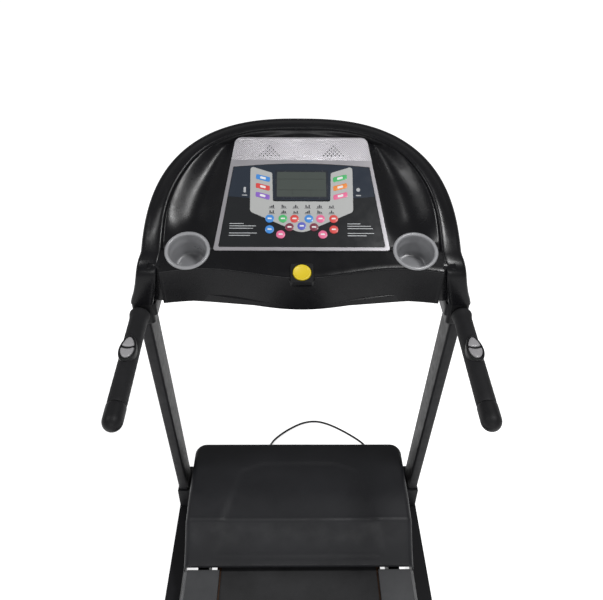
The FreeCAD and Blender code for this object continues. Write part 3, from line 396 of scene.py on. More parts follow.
def piece(name, shape, slot, replaces=(), body="base", material=None, bevel=0.0, steps=3, solid=0.0):
    """A finished mesh object from vertices and faces, rounded and given a wall in millimetres where asked."""
    vertices, faces = shape
    mesh = bpy.data.meshes.new(name)
    mesh.from_pydata([v + BASE_LINE for v in vertices], [], faces)
    builder = bmesh.new()
    builder.from_mesh(mesh)
    bmesh.ops.remove_doubles(builder, verts=builder.verts, dist=0.00001)
    bmesh.ops.dissolve_degenerate(builder, edges=builder.edges, dist=0.000005)
    bmesh.ops.recalc_face_normals(builder, faces=builder.faces)
    smooth_into(mesh, builder)
    if not bevel:
        mesh.set_sharp_from_angle(angle=radians(44))
    thing = show(name, mesh)
    mesh.materials.append(material or FINISHES[slot])
    if solid:
        wall = thing.modifiers.new("wall", "SOLIDIFY")
        wall.thickness = solid * MM
        wall.offset = -1
    if bevel:
        roll_edges(thing, bevel, steps, 35)
    return settle(thing, body, replaces)


def bake_modifiers(thing):
    """Replace an object's mesh by what its modifiers make of it."""
    graph = bpy.context.evaluated_depsgraph_get()
    made = bpy.data.meshes.new_from_object(thing.evaluated_get(graph))
    thing.modifiers.clear()
    thing.data = made


def loft(rings, closed=True, capped=True):
    """Vertices and faces through rings of equal length."""
    count = len(rings[0])
    vertices = [point for ring in rings for point in ring]
    faces = []
    last = count if closed else count - 1
    for i in range(len(rings) - 1):
        for j in range(last):
            k = (j + 1) % count
            faces.append((i * count + j, i * count + k, (i + 1) * count + k, (i + 1) * count + j))
    if capped and closed:
        faces.append(tuple(range(count))[::-1])
        faces.append(tuple(range((len(rings) - 1) * count, len(rings) * count)))
    return vertices, faces


def rounded(corners, radius, steps=6):
    """An outline whose corners are arcs. A radius is one number or one for each corner."""
    outline = []
    count = len(corners)
    for i, corner in enumerate(corners):
        size = radius[i] if isinstance(radius, (list, tuple)) else radius
        here = Vector(corner)
        back = (Vector(corners[i - 1]) - here).normalized()
        ahead = (Vector(corners[(i + 1) % count]) - here).normalized()
        half = back.angle(ahead) / 2
        reach = size / tan(half)
        centre = here + (back + ahead).normalized() * (size / sin(half))
        start, stop = here + back * reach - centre, here + ahead * reach - centre
        sweep = start.angle_signed(stop)
        for k in range(steps + 1):
            turn = Matrix.Rotation(-sweep * k / steps, 2)
            outline.append(centre + turn @ start)
    return outline


def slab(outline, low, high):
    """A closed plate on the panel, from its outline and the heights of its two faces."""
    return loft([[panel(u, v, height) for u, v in outline] for height in (low, high)])


def plate(name, outline, low, high, slot, bevel=0.3, **looks):
    """A slab as a piece of its own."""
    return piece(name, slab(outline, low, high), slot, bevel=bevel, steps=2, **looks)


def ring_plate(name, outer, inner, low, high, slot, **looks):
    """A flat frame on the panel: two outlines with as many points as each other."""
    rings = [[panel(u, v, height) for u, v in outline]
             for outline, height in ((outer, low), (outer, high), (inner, high), (inner, low), (outer, low))]
    return piece(name, loft(rings, capped=False), slot, **looks)


def turned(profile, centre, axis, segments=64):
    """A solid of revolution from (radius, height) corners along an axis through centre."""
    turn = Vector((0, 0, 1)).rotation_difference(Vector(axis)).to_matrix()
    return loft([[centre + turn @ at(radius * cos(a), radius * sin(a), height)
                  for a in (2 * pi * i / segments for i in range(segments))]
                 for radius, height in profile])


def group_mesh(name, parts, slot, replaces=(), material=None):
    """Several closed lofts carried as one piece."""
    vertices, faces = [], []
    for points, sides in parts:
        start = len(vertices)
        vertices.extend(points)
        faces.extend(tuple(i + start for i in side) for side in sides)
    return piece(name, (vertices, faces), slot, replaces, material=material)


def bent(value, power):
    """A power that keeps the sign of its base."""
    return copysign(abs(value) ** power, value)


def oval(cx, cy, rx, ry, count=24, power=2.0):
    """A superellipse outline."""
    return [(cx + bent(cos(a), 2 / power) * rx, cy + bent(sin(a), 2 / power) * ry)
            for a in (2 * pi * i / count for i in range(count))]


def blend(value, low, high):
    """A smooth step from 0 at low to 1 at high."""
    t = min(1.0, max(0.0, (value - low) / (high - low)))
    return t * t * (3 - 2 * t)


# ---------------- console shell
DOME_STEPS = 84
BAND_WIDTH = 46.5


def dome_station(i):
    """One place round the dome on the panel's plane: silhouette point, way inwards, crest and width."""
    angle = pi - pi * i / DOME_STEPS
    power = 2 / DOME_POWER
    point = Vector((bent(cos(angle), power) * DOME_HALF_WIDTH,
                    DOME_FOOT + max(sin(angle), 0) ** power * DOME_LENGTH))
    steep = DOME_POWER - 1
    normal = Vector((bent(point.x / DOME_HALF_WIDTH, steep) / DOME_HALF_WIDTH,
                     (max(point.y - DOME_FOOT, 0) / DOME_LENGTH) ** steep / DOME_LENGTH)).normalized()
    crest = 3 + 8 * blend(point.y, 10, 120) - 3.5 * blend(point.y, 230, 330)
    width = BAND_WIDTH - 7.5 * blend(point.y, 200, 330)
    return point, -normal, crest, width


def band_section(width, depth, crest, drop):
    """The rim's section as (inwards, above): outer wall, rounded shoulder, crest and inner edge."""
    points = [(0, -depth), (0, -depth * 0.6), (0, -drop)]
    for k in range(1, 7):
        angle = radians(15 * k)
        points.append((drop * 0.85 * (1 - cos(angle)), -drop + drop * sin(angle)))
    inner = width - 6
    for k in range(1, 6):
        share = k / 5
        points.append((drop * 0.85 + (inner - drop * 0.85) * share, crest * sin(pi / 2 * share)))
    for k in range(1, 5):
        angle = radians(22.5 * k)
        points.append((inner + 6 * sin(angle), crest - 6 + 6 * cos(angle)))
    return points + [(width, -depth * 0.5), (width, -depth)]


# The arms' path down one side: front edge (line, height), back edge (line, height), outer side and width.
ARM_PATH = ((588, 1045.2, 627, 1001, 338.9, 46.2), (574, 1039.5, 632, 997, 340.2, 45.6),
            (562, 1031.5, 637, 993.5, 341.5, 45), (554.5, 1021, 641, 990.5, 343.3, 44.6),
            (551.5, 1008, 644, 988, 345.6, 44.6), (550.6, 990, 646.5, 980, 349.6, 45.4),
            (551.2, 968, 647, 964, 356, 47), (551.8, 951, 647.6, 950, 362.5, 48.4),
            (552.2, 940.2, 648, 940, 366, 49), (552.2, 937.5, 648, 937.5, 366, 49))


def band_rings():
    """Sections of the rim and its two arms, from the left arm's end over the dome to the right arm's end."""
    rings = []
    for line, height, deep_line, deep_height, outer, width in reversed(ARM_PATH):
        away = Vector((0, line - deep_line, height - deep_height))
        depth = away.length
        away.normalize()
        share = blend(-away.y, 0.5, 0.99)
        section = band_section(width, depth, 3 - 1.5 * share, 15 - 7 * share)
        rings.append([(Vector((-outer + s, line, height)) + away * a) * MM for s, a in section])
    for i in range(DOME_STEPS + 1):
        point, inward, crest, width = dome_station(i)
        depth = 51.5 - 8.7 * point.y / 300
        section = band_section(width, depth, crest, 15)
        rings.append([panel(*(point + inward * s), a) for s, a in section])
    mirrored = [[Vector((-p.x, p.y, p.z)) for p in ring] for ring in rings[:len(ARM_PATH)]]
    return rings + mirrored[::-1]


def make_band():
    piece("console_rim", loft(band_rings()), SATIN, ("console_upper_shell",))


def bow(x):
    """How far towards the runner the fascia stands at one place across."""
    return PANEL_LINE - 49.2 - 10.3 * cos(pi * min(abs(x), 330) / 200)


# The bezel's edge, drawn in a little: left foot, left top, right top and right foot.
BEZEL_PATH = [Vector(corner) for corner in ((-180, DOME_FOOT), (-143, 274), (143, 274), (180, DOME_FOOT))]
BEZEL_SIDE = (BEZEL_PATH[1] - BEZEL_PATH[0]).length
BEZEL_TOP = BEZEL_PATH[2].x - BEZEL_PATH[1].x
DISH_STEPS, DISH_TURN = 26, 0.31


def bezel_station(share):
    """A point on the bezel's edge, for a share of the way round from its left foot."""
    left_foot, left_top, right_top, right_foot = BEZEL_PATH
    reach = share * (2 * BEZEL_SIDE + BEZEL_TOP)
    if reach < BEZEL_SIDE:
        return left_foot.lerp(left_top, reach / BEZEL_SIDE)
    if reach < BEZEL_SIDE + BEZEL_TOP:
        return Vector((left_top.x + reach - BEZEL_SIDE, left_top.y))
    return right_top.lerp(right_foot, (reach - BEZEL_SIDE - BEZEL_TOP) / BEZEL_SIDE)


def dish_rings():
    """Rings of the sloping dish between the rim's inner edge and the bezel, one from each dome station."""
    rings = []
    side = BEZEL_SIDE / (2 * BEZEL_SIDE + BEZEL_TOP)
    for i in range(DOME_STEPS + 1):
        point, inward, crest, width = dome_station(i)
        start = point + inward * (width - 0.6)
        angle = i / DOME_STEPS
        if angle < DISH_TURN:
            share = angle / DISH_TURN * side
        elif angle > 1 - DISH_TURN:
            share = 1 - (1 - angle) / DISH_TURN * side
        else:
            share = side + (angle - DISH_TURN) / (1 - 2 * DISH_TURN) * (1 - 2 * side)
        stop = bezel_station(share)
        depth = min(15.0, (stop - start).length * 0.16) * blend(point.y, 6, 110)
        ring = []
        for k in range(DISH_STEPS + 1):
            u = k / DISH_STEPS
            place = start.lerp(stop, u)
            sag = depth * sin(pi * min(1, u * 1.05)) ** 1.3
            fall = (crest - 4.6) * (1 - blend(u, 0.0, 0.55)) - sag
            ring.append(panel(place.x, place.y, fall - 0.6 * u))
        rings.append(ring)
    return rings


FASCIA_CORNER = 8


def fascia_columns():
    """Places across the apron and fascia, left to right: (x on the top row, x, step back from the bow)."""
    left = [p.x / MM for p in dish_rings()[0]]
    middle = [-180 + 360 * k / 40 for k in range(1, 40)]
    right = [-x for x in reversed(left)]
    flat = [(x, x, 0.0) for x in left + middle + right]
    half = flat[-1][0]
    ends = []
    for k in range(1, 6):
        angle = radians(18 * k)
        out = half - FASCIA_CORNER * (1 - sin(angle)) + 0.5
        ends.append((half + 0.4 * k, out, FASCIA_CORNER * (1 - cos(angle))))
    ends += [(half + 3, half + 1.2, 13.0), (half + 5, half + 6, 14.5), (half + 7, half + 26, 15.0)]
    return [(-a, -b, c) for a, b, c in reversed(ends)] + flat + ends


CREASE_RADIUS = 7.0
CUP_PLACE, CUP_LINE, CUP_HEIGHT, CUP_BORE = 238.5, 595.2, 1047.8, 43.5


def apron_level(y):
    """The height of the apron's plane at one place along the machine."""
    return PANEL_HEIGHT - (PANEL_LINE - y) * tan(APRON_TILT)


def make_top():
    """Dish, apron and fascia as one shell, bored for the cup holders."""
    vertices, faces = loft(dish_rings(), False)
    rings = []
    for top_x, x, back in fascia_columns():
        front = bow(x) + back
        start = panel(top_x, DOME_FOOT) / MM
        crease = apron_level(front)
        ring = [start * MM]
        for k in range(1, 9):
            share = k / 8
            y = start.y + (front + CREASE_RADIUS - start.y) * share
            lift = (start.z - apron_level(start.y)) * (1 - share) ** 2
            ring.append(at(top_x + (x - top_x) * share, y, apron_level(y) + lift))
        arc = radians(90) - APRON_TILT
        for k in range(1, 7):
            angle = arc * k / 6 + APRON_TILT
            y = front + CREASE_RADIUS - CREASE_RADIUS * sin(angle)
            z = crease - CREASE_RADIUS * (1 - cos(angle)) + CREASE_RADIUS * tan(APRON_TILT) * 0.55
            ring.append(at(x, y, z))
        lowest = ring[-1].z / MM
        foot = FASCIA_BOTTOM - 8 * cos(pi * min(abs(x), 190) / 380) ** 1.3
        for k in range(1, 11):
            share = k / 10
            z = lowest + (foot + 4 - lowest) * share
            ring.append(at(x, front - 1.2 * sin(pi * share) + 1.5 * share, z))
        for k in range(1, 5):
            angle = radians(22.5 * k)
            ring.append(at(x, front + 1.5 + 4 * (1 - cos(angle)), foot + 4 - 4 * sin(angle)))
        ring.append(at(x, front + 16, foot - 0.6))
        rings.append(ring)
    more, sides = loft(rings, False)
    start = len(vertices)
    vertices += more
    faces += [tuple(i + start for i in side) for side in sides]
    shell = piece("console_top", (vertices, faces), SATIN, solid=2.5)
    cutters = []
    for _, side in SIDES:
        tool = cutter(apron(side * CUP_PLACE, 0), CUP_BORE, 60, APRON_TILT)
        cutters.append(tool)
        hole = shell.modifiers.new("hole", "BOOLEAN")
        hole.operation = "DIFFERENCE"
        hole.solver = "EXACT"
        hole.object = tool
    bake_modifiers(shell)
    for tool in cutters:
        bpy.data.objects.remove(tool)


def cutter(centre, radius, reach, tilt):
    """A cylinder that bores a hole square to the apron."""
    builder = bmesh.new()
    bmesh.ops.create_cone(builder, cap_ends=True, segments=72, radius1=radius * MM, radius2=radius * MM,
                          depth=reach * 2 * MM)
    builder.transform(Matrix.Translation(centre + BASE_LINE) @ Matrix.Rotation(tilt, 4, "X"))
    mesh = bpy.data.meshes.new("cutter")
    builder.to_mesh(mesh)
    builder.free()
    return show("cutter", mesh)


# ---------------- control panel
PANEL_EDGE = ((-185, 0), (185, 0), (147, 280), (-147, 280))
WINDOW_FOOT, WINDOW_HALF, WINDOW_TOP, WINDOW_TOP_HALF, WINDOW_RISE = 8, 174.8, 203, 149.8, 11.5


def window_outline(grow=0.0):
    """The printed film's outline: straight sides, small foot corners and a gently arched head."""
    foot, half, top_half = WINDOW_FOOT - grow, WINDOW_HALF + grow, WINDOW_TOP_HALF + grow
    corners = [(-half, foot), (half, foot), (top_half, WINDOW_TOP), (-top_half, WINDOW_TOP)]
    arch = []
    for k in range(18):
        x = top_half * (1 - 2 * k / 17)
        rise = WINDOW_RISE * cos(pi / 2 * x / WINDOW_HALF)
        arch.append(Vector((x, WINDOW_TOP + grow + rise - 2.5)))
    return rounded(corners, 4, 8)[:18] + arch


def make_bezel():
    ring_plate("panel_bezel", rounded(PANEL_EDGE, [5, 5, 17, 17], 8), window_outline(), 0.02, 4.0,
               "silver_plastic", replaces=("console_bezel",), bevel=1.1)
    # Painted shade: the speaker holes are not cut; flush discs of black plastic stand for them, giving the
    # black behind the holes and the shade inside them.
    dots = [slab(oval(side * 71 + (k - row / 2) * 8.6, 256.5 - 5.0 * row, 1.5, 1.7, 12), 3.6, 4.06)
            for _, side in SIDES for row in range(6) for k in range(row + 1)]
    group_mesh("speaker_hole_black_and_shade", dots, GRAINED)


def make_film():
    """The keypad film: black below, a navy field above, and the light shield that carries the keys."""
    plate("film_black", window_outline(-0.3), 0.4, 2.1, "gloss_overlay", replaces=("keypad_overlay",),
          bevel=0.2)
    navy = printed("film_navy", (0.0165, 0.0225, 0.0335), (0.18, 0.26), coat=0.2, specular=0.3)
    lower = [(x, 129.5 - 9.5 * cos(pi / 2 * x / 159))
             for x in (-159 + 318 * k / 24 for k in range(25))]
    upper = [p for p in window_outline(-0.9) if p.y > 150]
    plate("film_navy_field", lower + upper, 2.1, 2.3, "gloss_overlay", material=navy, bevel=0.0)
    shield_tone = printed("film_shield", (0.345, 0.35, 0.345), (0.3, 0.4), 0.03, specular=0.3)
    corners = [(-112, 205), (-64, 188), (-62, 117), (62, 117), (64, 188), (112, 205), (110.5, 92), (0, 40),
               (-110.5, 92)]
    outline = rounded(corners, [6, 5, 5, 5, 5, 6, 9, 34, 9], 6)
    plate("film_shield", outline, 2.1, 2.75, "gloss_overlay", material=shield_tone, bevel=0.2)


LCD_HALF, LCD_FOOT, LCD_TOP = 54, 128.0, 191.0


def lcd_outline(grow, radius):
    """The display window's outline, made wider by a margin."""
    return rounded(box(-LCD_HALF - grow, LCD_FOOT - grow, LCD_HALF + grow, LCD_TOP + grow), radius, 4)


def make_display():
    plate("display_glass", lcd_outline(0, 2), -2.0, 2.5, "lcd_glass", replaces=("lcd_module",))
    frame_tone = printed("display_frame", (0.012, 0.015, 0.022))
    ring_plate("display_frame", lcd_outline(4, 3), lcd_outline(-0.4, 2), 2.0, 2.95, "gloss_overlay",
               material=frame_tone, bevel=0.2)
    ink = printed("display_ink", (0.014, 0.017, 0.016), (0.3, 0.4))
    edge = LCD_HALF - 4
    bars = [box(-edge, v - 0.5, edge, v + 0.5) for v in (145.5, 172.5)]
    bars += [box(x - 0.4, foot, x + 0.4, head)
             for x, foot, head in ((8, 173, 187), (-20, 131.5, 145), (20, 131.5, 145))]
    group_mesh("display_lines", [slab(bar, 2.4, 2.58) for bar in bars], "lcd_glass", material=ink)


KEY_TONES = {
    "blue": (0.045, 0.20, 0.52), "red": (0.52, 0.055, 0.05), "violet": (0.20, 0.10, 0.42),
    "green": (0.06, 0.36, 0.12), "orange": (0.62, 0.20, 0.04), "pink": (0.60, 0.12, 0.24),
    "maroon": (0.16, 0.03, 0.05), "indigo": (0.09, 0.10, 0.40), "white": (0.62, 0.62, 0.62),
    "icon": (0.03, 0.03, 0.035), "caption": (0.34, 0.35, 0.36),
}
SLANTED_KEYS = (("blue", -1, 174.5), ("red", -1, 152.5), ("violet", -1, 130.5),
                ("green", 1, 174.5), ("orange", 1, 152.5), ("pink", 1, 130.5))
ROUND_KEYS = (("blue", -68, 75), ("green", -40, 75), ("red", -15.4, 75), ("blue", 15.4, 75),
              ("pink", 40, 75), ("red", 68, 75), ("maroon", -26, 55), ("indigo", 0, 57.5),
              ("maroon", 26, 55), ("blue", -68, 49.5), ("red", 68, 49.5), ("pink", -44.4, 37.8),
              ("pink", 44.4, 37.8))
# The bars of each small chart, and the lengths of each side's caption lines, where 0 is a blank line.
CHARTS = ((3, 5, 7), (7, 5, 3), (3, 7, 3), (7, 3, 7), (4, 7, 5), (5, 3, 6))
CAPTIONS = ((-1, -153, (30, 56, 50, 0, 58, 44)), (1, 97, (28, 50, 54, 0, 56, 40)))


def crowned(outline, low, edge, crown, centre):
    """A key with a soft crown: its outline drawn in over three rings and closed by a cap."""
    levels = ((1.0, low), (1.0, edge), (0.93, edge + (crown - edge) * 0.6), (0.78, crown))
    return loft([[panel(centre[0] + (u - centre[0]) * share, centre[1] + (v - centre[1]) * share, height)
                  for u, v in outline] for share, height in levels])


def make_keys():
    """Embossed keys in their colours, each with a plain white mark where a symbol would be."""
    shapes = {tone: [] for tone in KEY_TONES}
    drop, half = 4.2, 15.2
    for tone, side, v in SLANTED_KEYS:
        x = side * 84
        inner, outer = x - side * half, x + side * half
        corners = [(inner, v - drop - 6), (outer, v + drop - 6), (outer, v + drop + 6), (inner, v - drop + 6)]
        mark = [(side * 78, v - 4.4), (side * 90, v - 1.2), (side * 90, v + 4.4), (side * 78, v + 1.2)]
        shapes[tone].append(crowned(rounded(corners[::side], 2.5, 4), 2.6, 3.2, 3.6, (x, v)))
        shapes["white"].append(slab(rounded(mark[::side], 1.4, 3), 3.3, 3.72))
    for tone, x, v in ROUND_KEYS:
        mark = [(x - 5, v - 1.6), (x + 5, v - 1.6), (x + 4, v + 2), (x - 4, v + 2)]
        shapes[tone].append(crowned(oval(x, v, 9.4, 9.4, 28), 2.0, 3.2, 3.7, (x, v)))
        shapes["white"].append(slab(rounded(mark, 1.2, 3), 3.4, 3.82))
    for row, v in enumerate((105, 91.6)):
        foot = v - 3.6
        for k in range(6):
            middle = -64 + 25.6 * k
            for bar, height in enumerate(CHARTS[(k + row * 3) % 6]):
                x = middle + (bar - 1) * 3.4
                shapes["icon"].append(slab(box(x - 1.3, foot, x + 1.3, foot + height), 2.6, 2.86))
            shapes["icon"].append(slab(box(middle - 7, v - 5.2, middle + 7, v - 4.4), 2.6, 2.86))
    for side, start, lengths in CAPTIONS:
        for row, long in enumerate(lengths):
            if long:
                v = 63.5 - row * 5.6
                shapes["caption"].append(slab(box(start, v - 0.9, start + long, v + 0.9), 2.05, 2.2))
        x = side * 123
        mark = oval(x, 146.5, 4.2, 4.6, 20) if side > 0 else rounded(box(x - 2.6, 139, x + 2.6, 152), 1.2, 3)
        shapes["caption"] += [slab(mark, 2.25, 2.4), slab(box(x - 5.5, 131, x + 5.5, 133.4), 2.25, 2.4)]
    for tone, parts in shapes.items():
        ink = printed(f"ink_{tone}", KEY_TONES[tone], (0.25, 0.36), 0.04, coat=0.15, specular=0.35)
        group_mesh(f"keys_{tone}", parts, "gloss_overlay", material=ink)


# ---------------- cups and safety key
CUP_SECTION = ((0, -56.6), (21, -56.6), (23, -57.2), (29.5, -57.0), (32.4, -55.2), (33.8, -51.5), (35.9, -27),
               (36.9, -15.5), (37.6, -14.6), (38.4, -5), (39.0, -0.6), (39.8, 1.6), (41.2, 3.1), (43.4, 3.6),
               (45.6, 3.2), (47.0, 2.1), (47.6, 0.9), (47.4, 0.1), (44.0, 0.0), (42.4, -1.2), (41.4, -6),
               (38.4, -30), (36.6, -52), (33, -59), (29, -60), (0, -60))
KEY_SECTION = ((0, 8.2), (13.6, 8.2), (14.6, 8.5), (15.4, 9.2), (16.6, 9.5), (17.9, 9.1), (18.6, 8.1),
               (18.8, 6.8), (18.8, 0.4), (18.4, 0.0), (0, 0.0))
APRON_NORMAL = (0, -sin(APRON_TILT), cos(APRON_TILT))
KEY_ALONG = -54.25


def make_cups():
    for name, side in SIDES:
        cup = turned(CUP_SECTION, at(side * CUP_PLACE, CUP_LINE, CUP_HEIGHT), APRON_NORMAL, 96)
        piece(f"{name}_cup", cup, "cup_grey", (f"{name}_cup_holder",))


def make_key():
    """A square housing sunk over the crease, and the round magnetic key in its dish."""
    square, circle = oval(0, KEY_ALONG, 24.4, 22.4, 64, 9), oval(0, KEY_ALONG, 19.6, 19.6, 64)
    levels = ((square, 1, -9), (square, 1, 2.0), (square, 0.96, 3.2), (circle, 1.04, 3.2), (circle, 1, 2.2),
              (circle, 1, -3.6))
    rings = [[apron(u * scale, KEY_ALONG + (v - KEY_ALONG) * scale, height) for u, v in outline]
             for outline, scale, height in levels]
    piece("key_housing", loft(rings), GRAINED, ("safety_key_socket",))
    lip = rounded([(-27, 1019), (-22.5, 1001), (22.5, 1001), (27, 1019)], [2, 7, 7, 2], 6)
    rings = [[at(x * (1 - inset / 30), bow(0) + step, 1010 + (z - 1010) * (1 - inset / 12)) for x, z in lip]
             for step, inset in ((3, 0), (-1.2, 0), (-2.8, 0.7), (-3.4, 2.2))]
    piece("key_lip", loft(rings), SATIN)
    cap = turned(KEY_SECTION, apron(0, KEY_ALONG, -3.9), APRON_NORMAL)
    piece("key_cap", cap, "key_yellow", ("safety_key",), "key")


# ---------------- handrails, grips and switch pods
RAIL_PLACE, RAIL_LINE, RAIL_HEIGHT, RAIL_DROOP, RAIL_LENGTH = 348, 557, 914, radians(5), 296
POD_ALONG, POD_HALF_WIDTH, POD_HALF_LENGTH = 124, 17, 36
BUTTON_SHARE, BUTTON_GAP = 0.755, 2.9
# Share of the outline and height above the handrail's axis, from the skirt to the crown.
POD_LEVELS = ((1.0, 9.0), (1.0, 19.0), (0.985, 21.4), (0.95, 22.8), (0.89, 23.3), (0.83, 22.9), (0.79, 21.8),
              (0.78, 19.4))
BUTTON_LEVELS = ((1.0, 20.9), (1.0, 22.6), (0.96, 23.7), (0.86, 24.4), (0.6, 24.9), (0.25, 25.1))


def rail(side, along, above=0.0, across=0.0):
    """A point by one handrail: along it from the upright, above its axis and across it."""
    c, s = cos(RAIL_DROOP), sin(RAIL_DROOP)
    return at(RAIL_PLACE * side + across, RAIL_LINE - (along * c + above * s),
              RAIL_HEIGHT - (along * s - above * c))


def make_grips():
    axis = (0, -cos(RAIL_DROOP), -sin(RAIL_DROOP))
    seam = RAIL_LENGTH - 43.8
    grip = [(15.1, 7.4), (19.0, 7.3), (21.2, 8.4), (21.9, 11), (21.7, 14), (20.6, 19), (19.6, 25)]
    grip += [(19.3 + 0.12 * sin(k * 1.7), 30 + (seam - 36) * k / 40) for k in range(41)]
    grip += [(18.9, seam - 2.4), (18.2, seam - 0.8), (15.1, seam - 0.5)]
    cap = [(15.1, seam + 0.4), (18.6, seam + 0.5), (19.5, seam + 1.6), (19.8, seam + 4)]
    cap += [(19.8, seam + 10 + 7 * k) for k in range(4)]
    cap += [(19.8 * cos(a), seam + 33 + 22 * sin(a))
            for a in (radians(9 * k) for k in range(1, 10))]
    for name, side in SIDES:
        foam_tube = turned(grip, rail(side, 0), axis, 72)
        piece(f"{name}_foam_grip", foam_tube, "black_foam", (f"{name}_grip",))
    caps = [turned(cap, rail(side, 0), axis) for _, side in SIDES]
    group_mesh("rail_end_caps", caps, GRAINED, ("grip_caps",))


def egg(share, count=48):
    """The pod's outline, scaled: blunt towards the runner, drawn to a point towards the console."""
    points = []
    for i in range(count):
        angle = 2 * pi * i / count
        v = cos(angle)
        width = sin(angle) * (1 - 0.20 * v - 0.10 * v * v)
        points.append((width * (POD_HALF_WIDTH * share) * 1.04, -v * (POD_HALF_LENGTH * share)))
    return points


def bridge_line(u):
    """The middle of the curved bar that parts a pod's two buttons."""
    return 1.5 - 0.022 * u * u


def make_pods():
    for name, side in SIDES:
        rings = [[rail(side, POD_ALONG + v, above, u) for u, v in egg(share)] for share, above in POD_LEVELS]
        piece(f"{name}_pod", loft(rings), GRAINED, (f"{name}_switch_pod",))
        bridge = [(u, bridge_line(u)) for u in range(-13, 14, 2)]
        strip = [(u, v - 2.1) for u, v in bridge] + [(u, v + 2.1) for u, v in reversed(bridge)]
        rings = [[rail(side, POD_ALONG + v, above, u * scale) for u, v in strip]
                 for above, scale in ((19.0, 1.0), (22.2, 1.0), (22.7, 0.95))]
        piece(f"{name}_pod_bridge", loft(rings), GRAINED, bevel=0.4)
        for word, way in (("up", -1), ("down", 1)):
            outline = [(u, bridge_line(u) + way * BUTTON_GAP) for u in range(-12, 13, 2)]
            outline += [(u, v) for u, v in egg(BUTTON_SHARE, 72) if (v - bridge_line(u)) * way > BUTTON_GAP]
            middle = way * 14.0
            outline.sort(key=lambda p: atan2(p[1] - middle, p[0]))
            rings = [[rail(side, POD_ALONG + middle + (v - middle) * share, above, u * share)
                      for u, v in outline] for share, above in BUTTON_LEVELS]
            piece(f"{name}_{word}_button", loft(rings), "silver_button", (f"{name}_button_{word}",),
                  f"{name}_{word}")


def make_sleeves():
    """The part of each arm below the seam, with the flange that grips its upright."""
    levels = ((882.2, 2.4), (883.6, 1.2), (886, 0.8), (930, 0.8), (936.6, 0.8))
    sleeve = [(rounded(box(318.4 + inset, 552.6 + inset, 366 - inset, 647.5 - inset), 8, 6), z)
              for z, inset in levels]
    flange = [(rounded(box(314 - grow, 556, 330, 600), 4, 5), z)
              for z, grow in ((905, 0.0), (907, 1.6), (934, 1.6), (936, 0.4))]
    for name, side in SIDES:
        for part, outlines in (("arm_sleeve", sleeve), ("sleeve_flange", flange)):
            rings = [[at(side * x, y, z) for x, y in outline] for outline, z in outlines]
            piece(f"{name}_{part}", loft(rings), GRAINED)


# ---------------- uprights and hood
UPRIGHT_LEAN = radians(5)
UPRIGHT_PLACE, UPRIGHT_LINE, UPRIGHT_LEVEL = 349, 660, 300
UPRIGHT_END_CUT = 0.999     # 1 cuts the ends square to the tube


def make_uprights():
    """Leaning rectangular tubes with rolled corners, from their sockets up into the arms."""
    outline = rounded(box(-13.5, -35, 13.5, 35), 5.5, 7)
    lean = tan(UPRIGHT_LEAN)
    for name, side in SIDES:
        rings = [[at(side * UPRIGHT_PLACE + x, UPRIGHT_LINE - (z - UPRIGHT_LEVEL) * lean + y,
                     z + y * lean * UPRIGHT_END_CUT) for x, y in outline]
                 for z in (62.5, 200, 340, 480, 620, 760, 900, 934)]
        piece(f"{name}_post", loft(rings), "frame_paint", (f"{name}_upright",))


HOOD_REAR, HOOD_FRONT, HOOD_TOP, HOOD_FOOT, HOOD_HALF = 375.4, 719.8, 262, 130.2, 310.4
HOOD_CORNER, HOOD_EDGE = 28, 7


def hood_top(y):
    """The hood's height along the machine."""
    if y > HOOD_FRONT - HOOD_EDGE:
        share = min(1.0, (y - HOOD_FRONT + HOOD_EDGE) / HOOD_EDGE)
        return HOOD_TOP - HOOD_EDGE * (1 - sqrt(max(0.0, 1 - share * share)))
    if y > 560:
        return HOOD_TOP
    if y > 470:
        return 250 + 12 * blend(y, 440, 560)
    slope = 174 + (252.2 - 174) * (y - HOOD_REAR) / (470 - HOOD_REAR)
    return slope - 3.6 * sin(pi * (y - HOOD_REAR) / 95) ** 2


def hood_recess(x, y):
    """Depth of the shallow tray in the hood's back, a rounded trapezoid that widens towards the belt."""
    share = (655 - y) / 255
    half = 165 + 70 * share
    sideways = blend(half - abs(x), 0, 14)
    lengthways = blend(655 - y - 26 * blend(abs(x), half - 70, half), 0, 12) * blend(y - 392, 0, 12)
    return 3.2 * sideways * lengthways


def make_hood():
    stations = [HOOD_REAR]
    for low, high, count in ((HOOD_REAR, 470, 16), (470, 560, 12), (560, 690, 20)):
        stations += [low + (high - low) * k / count for k in range(1, count + 1)]
    stations += [692, 696, 700, 704, 708, 711, 713, 714.6, 716, 717.2, 718.2, 719, 719.5, HOOD_FRONT]
    rings = []
    for y in stations:
        past = min(1.0, max(0.0, (y - HOOD_FRONT + HOOD_CORNER) / HOOD_CORNER))
        half = HOOD_HALF - HOOD_CORNER * (1 - sqrt(1 - past * past))
        top = hood_top(y)
        soft = min(16, (top - HOOD_FOOT) * 0.3)
        right = [(half, HOOD_FOOT), (half, HOOD_FOOT + (top - soft - HOOD_FOOT) * 0.5), (half, top - soft)]
        for k in range(1, 7):
            angle = radians(15 * k)
            right.append((half - soft * (1 - cos(angle)), top - soft + soft * sin(angle)))
        across = [(half - soft) * (1 - 2 * k / 72) for k in range(1, 72)]
        top_row = [(x, top - hood_recess(x, y)) for x in across]
        left = [(-x, z) for x, z in reversed(right)]
        rings.append([at(x, y, z) for x, z in right + top_row + left])
    vertices, faces = loft(rings, False)
    count = len(rings[0])
    last = len(vertices) - count
    faces.append(tuple(range(last, last + count)))
    # Painted light: the hood's grained black is a lighter copy of the other grained parts' black, making up
    # for the lamp light that reaches it less.
    grain = moulded("hood_grain_painted_lighter", (0.0095, 0.0098, 0.0118), (0.0130, 0.0134, 0.0160), (0.42, 0.56), 1500,
                    0.09, 0.3)
    bake_modifiers(piece("hood_cover", (vertices, faces), GRAINED, ("motor_hood",), "deck",
                         grain, solid=2.8))


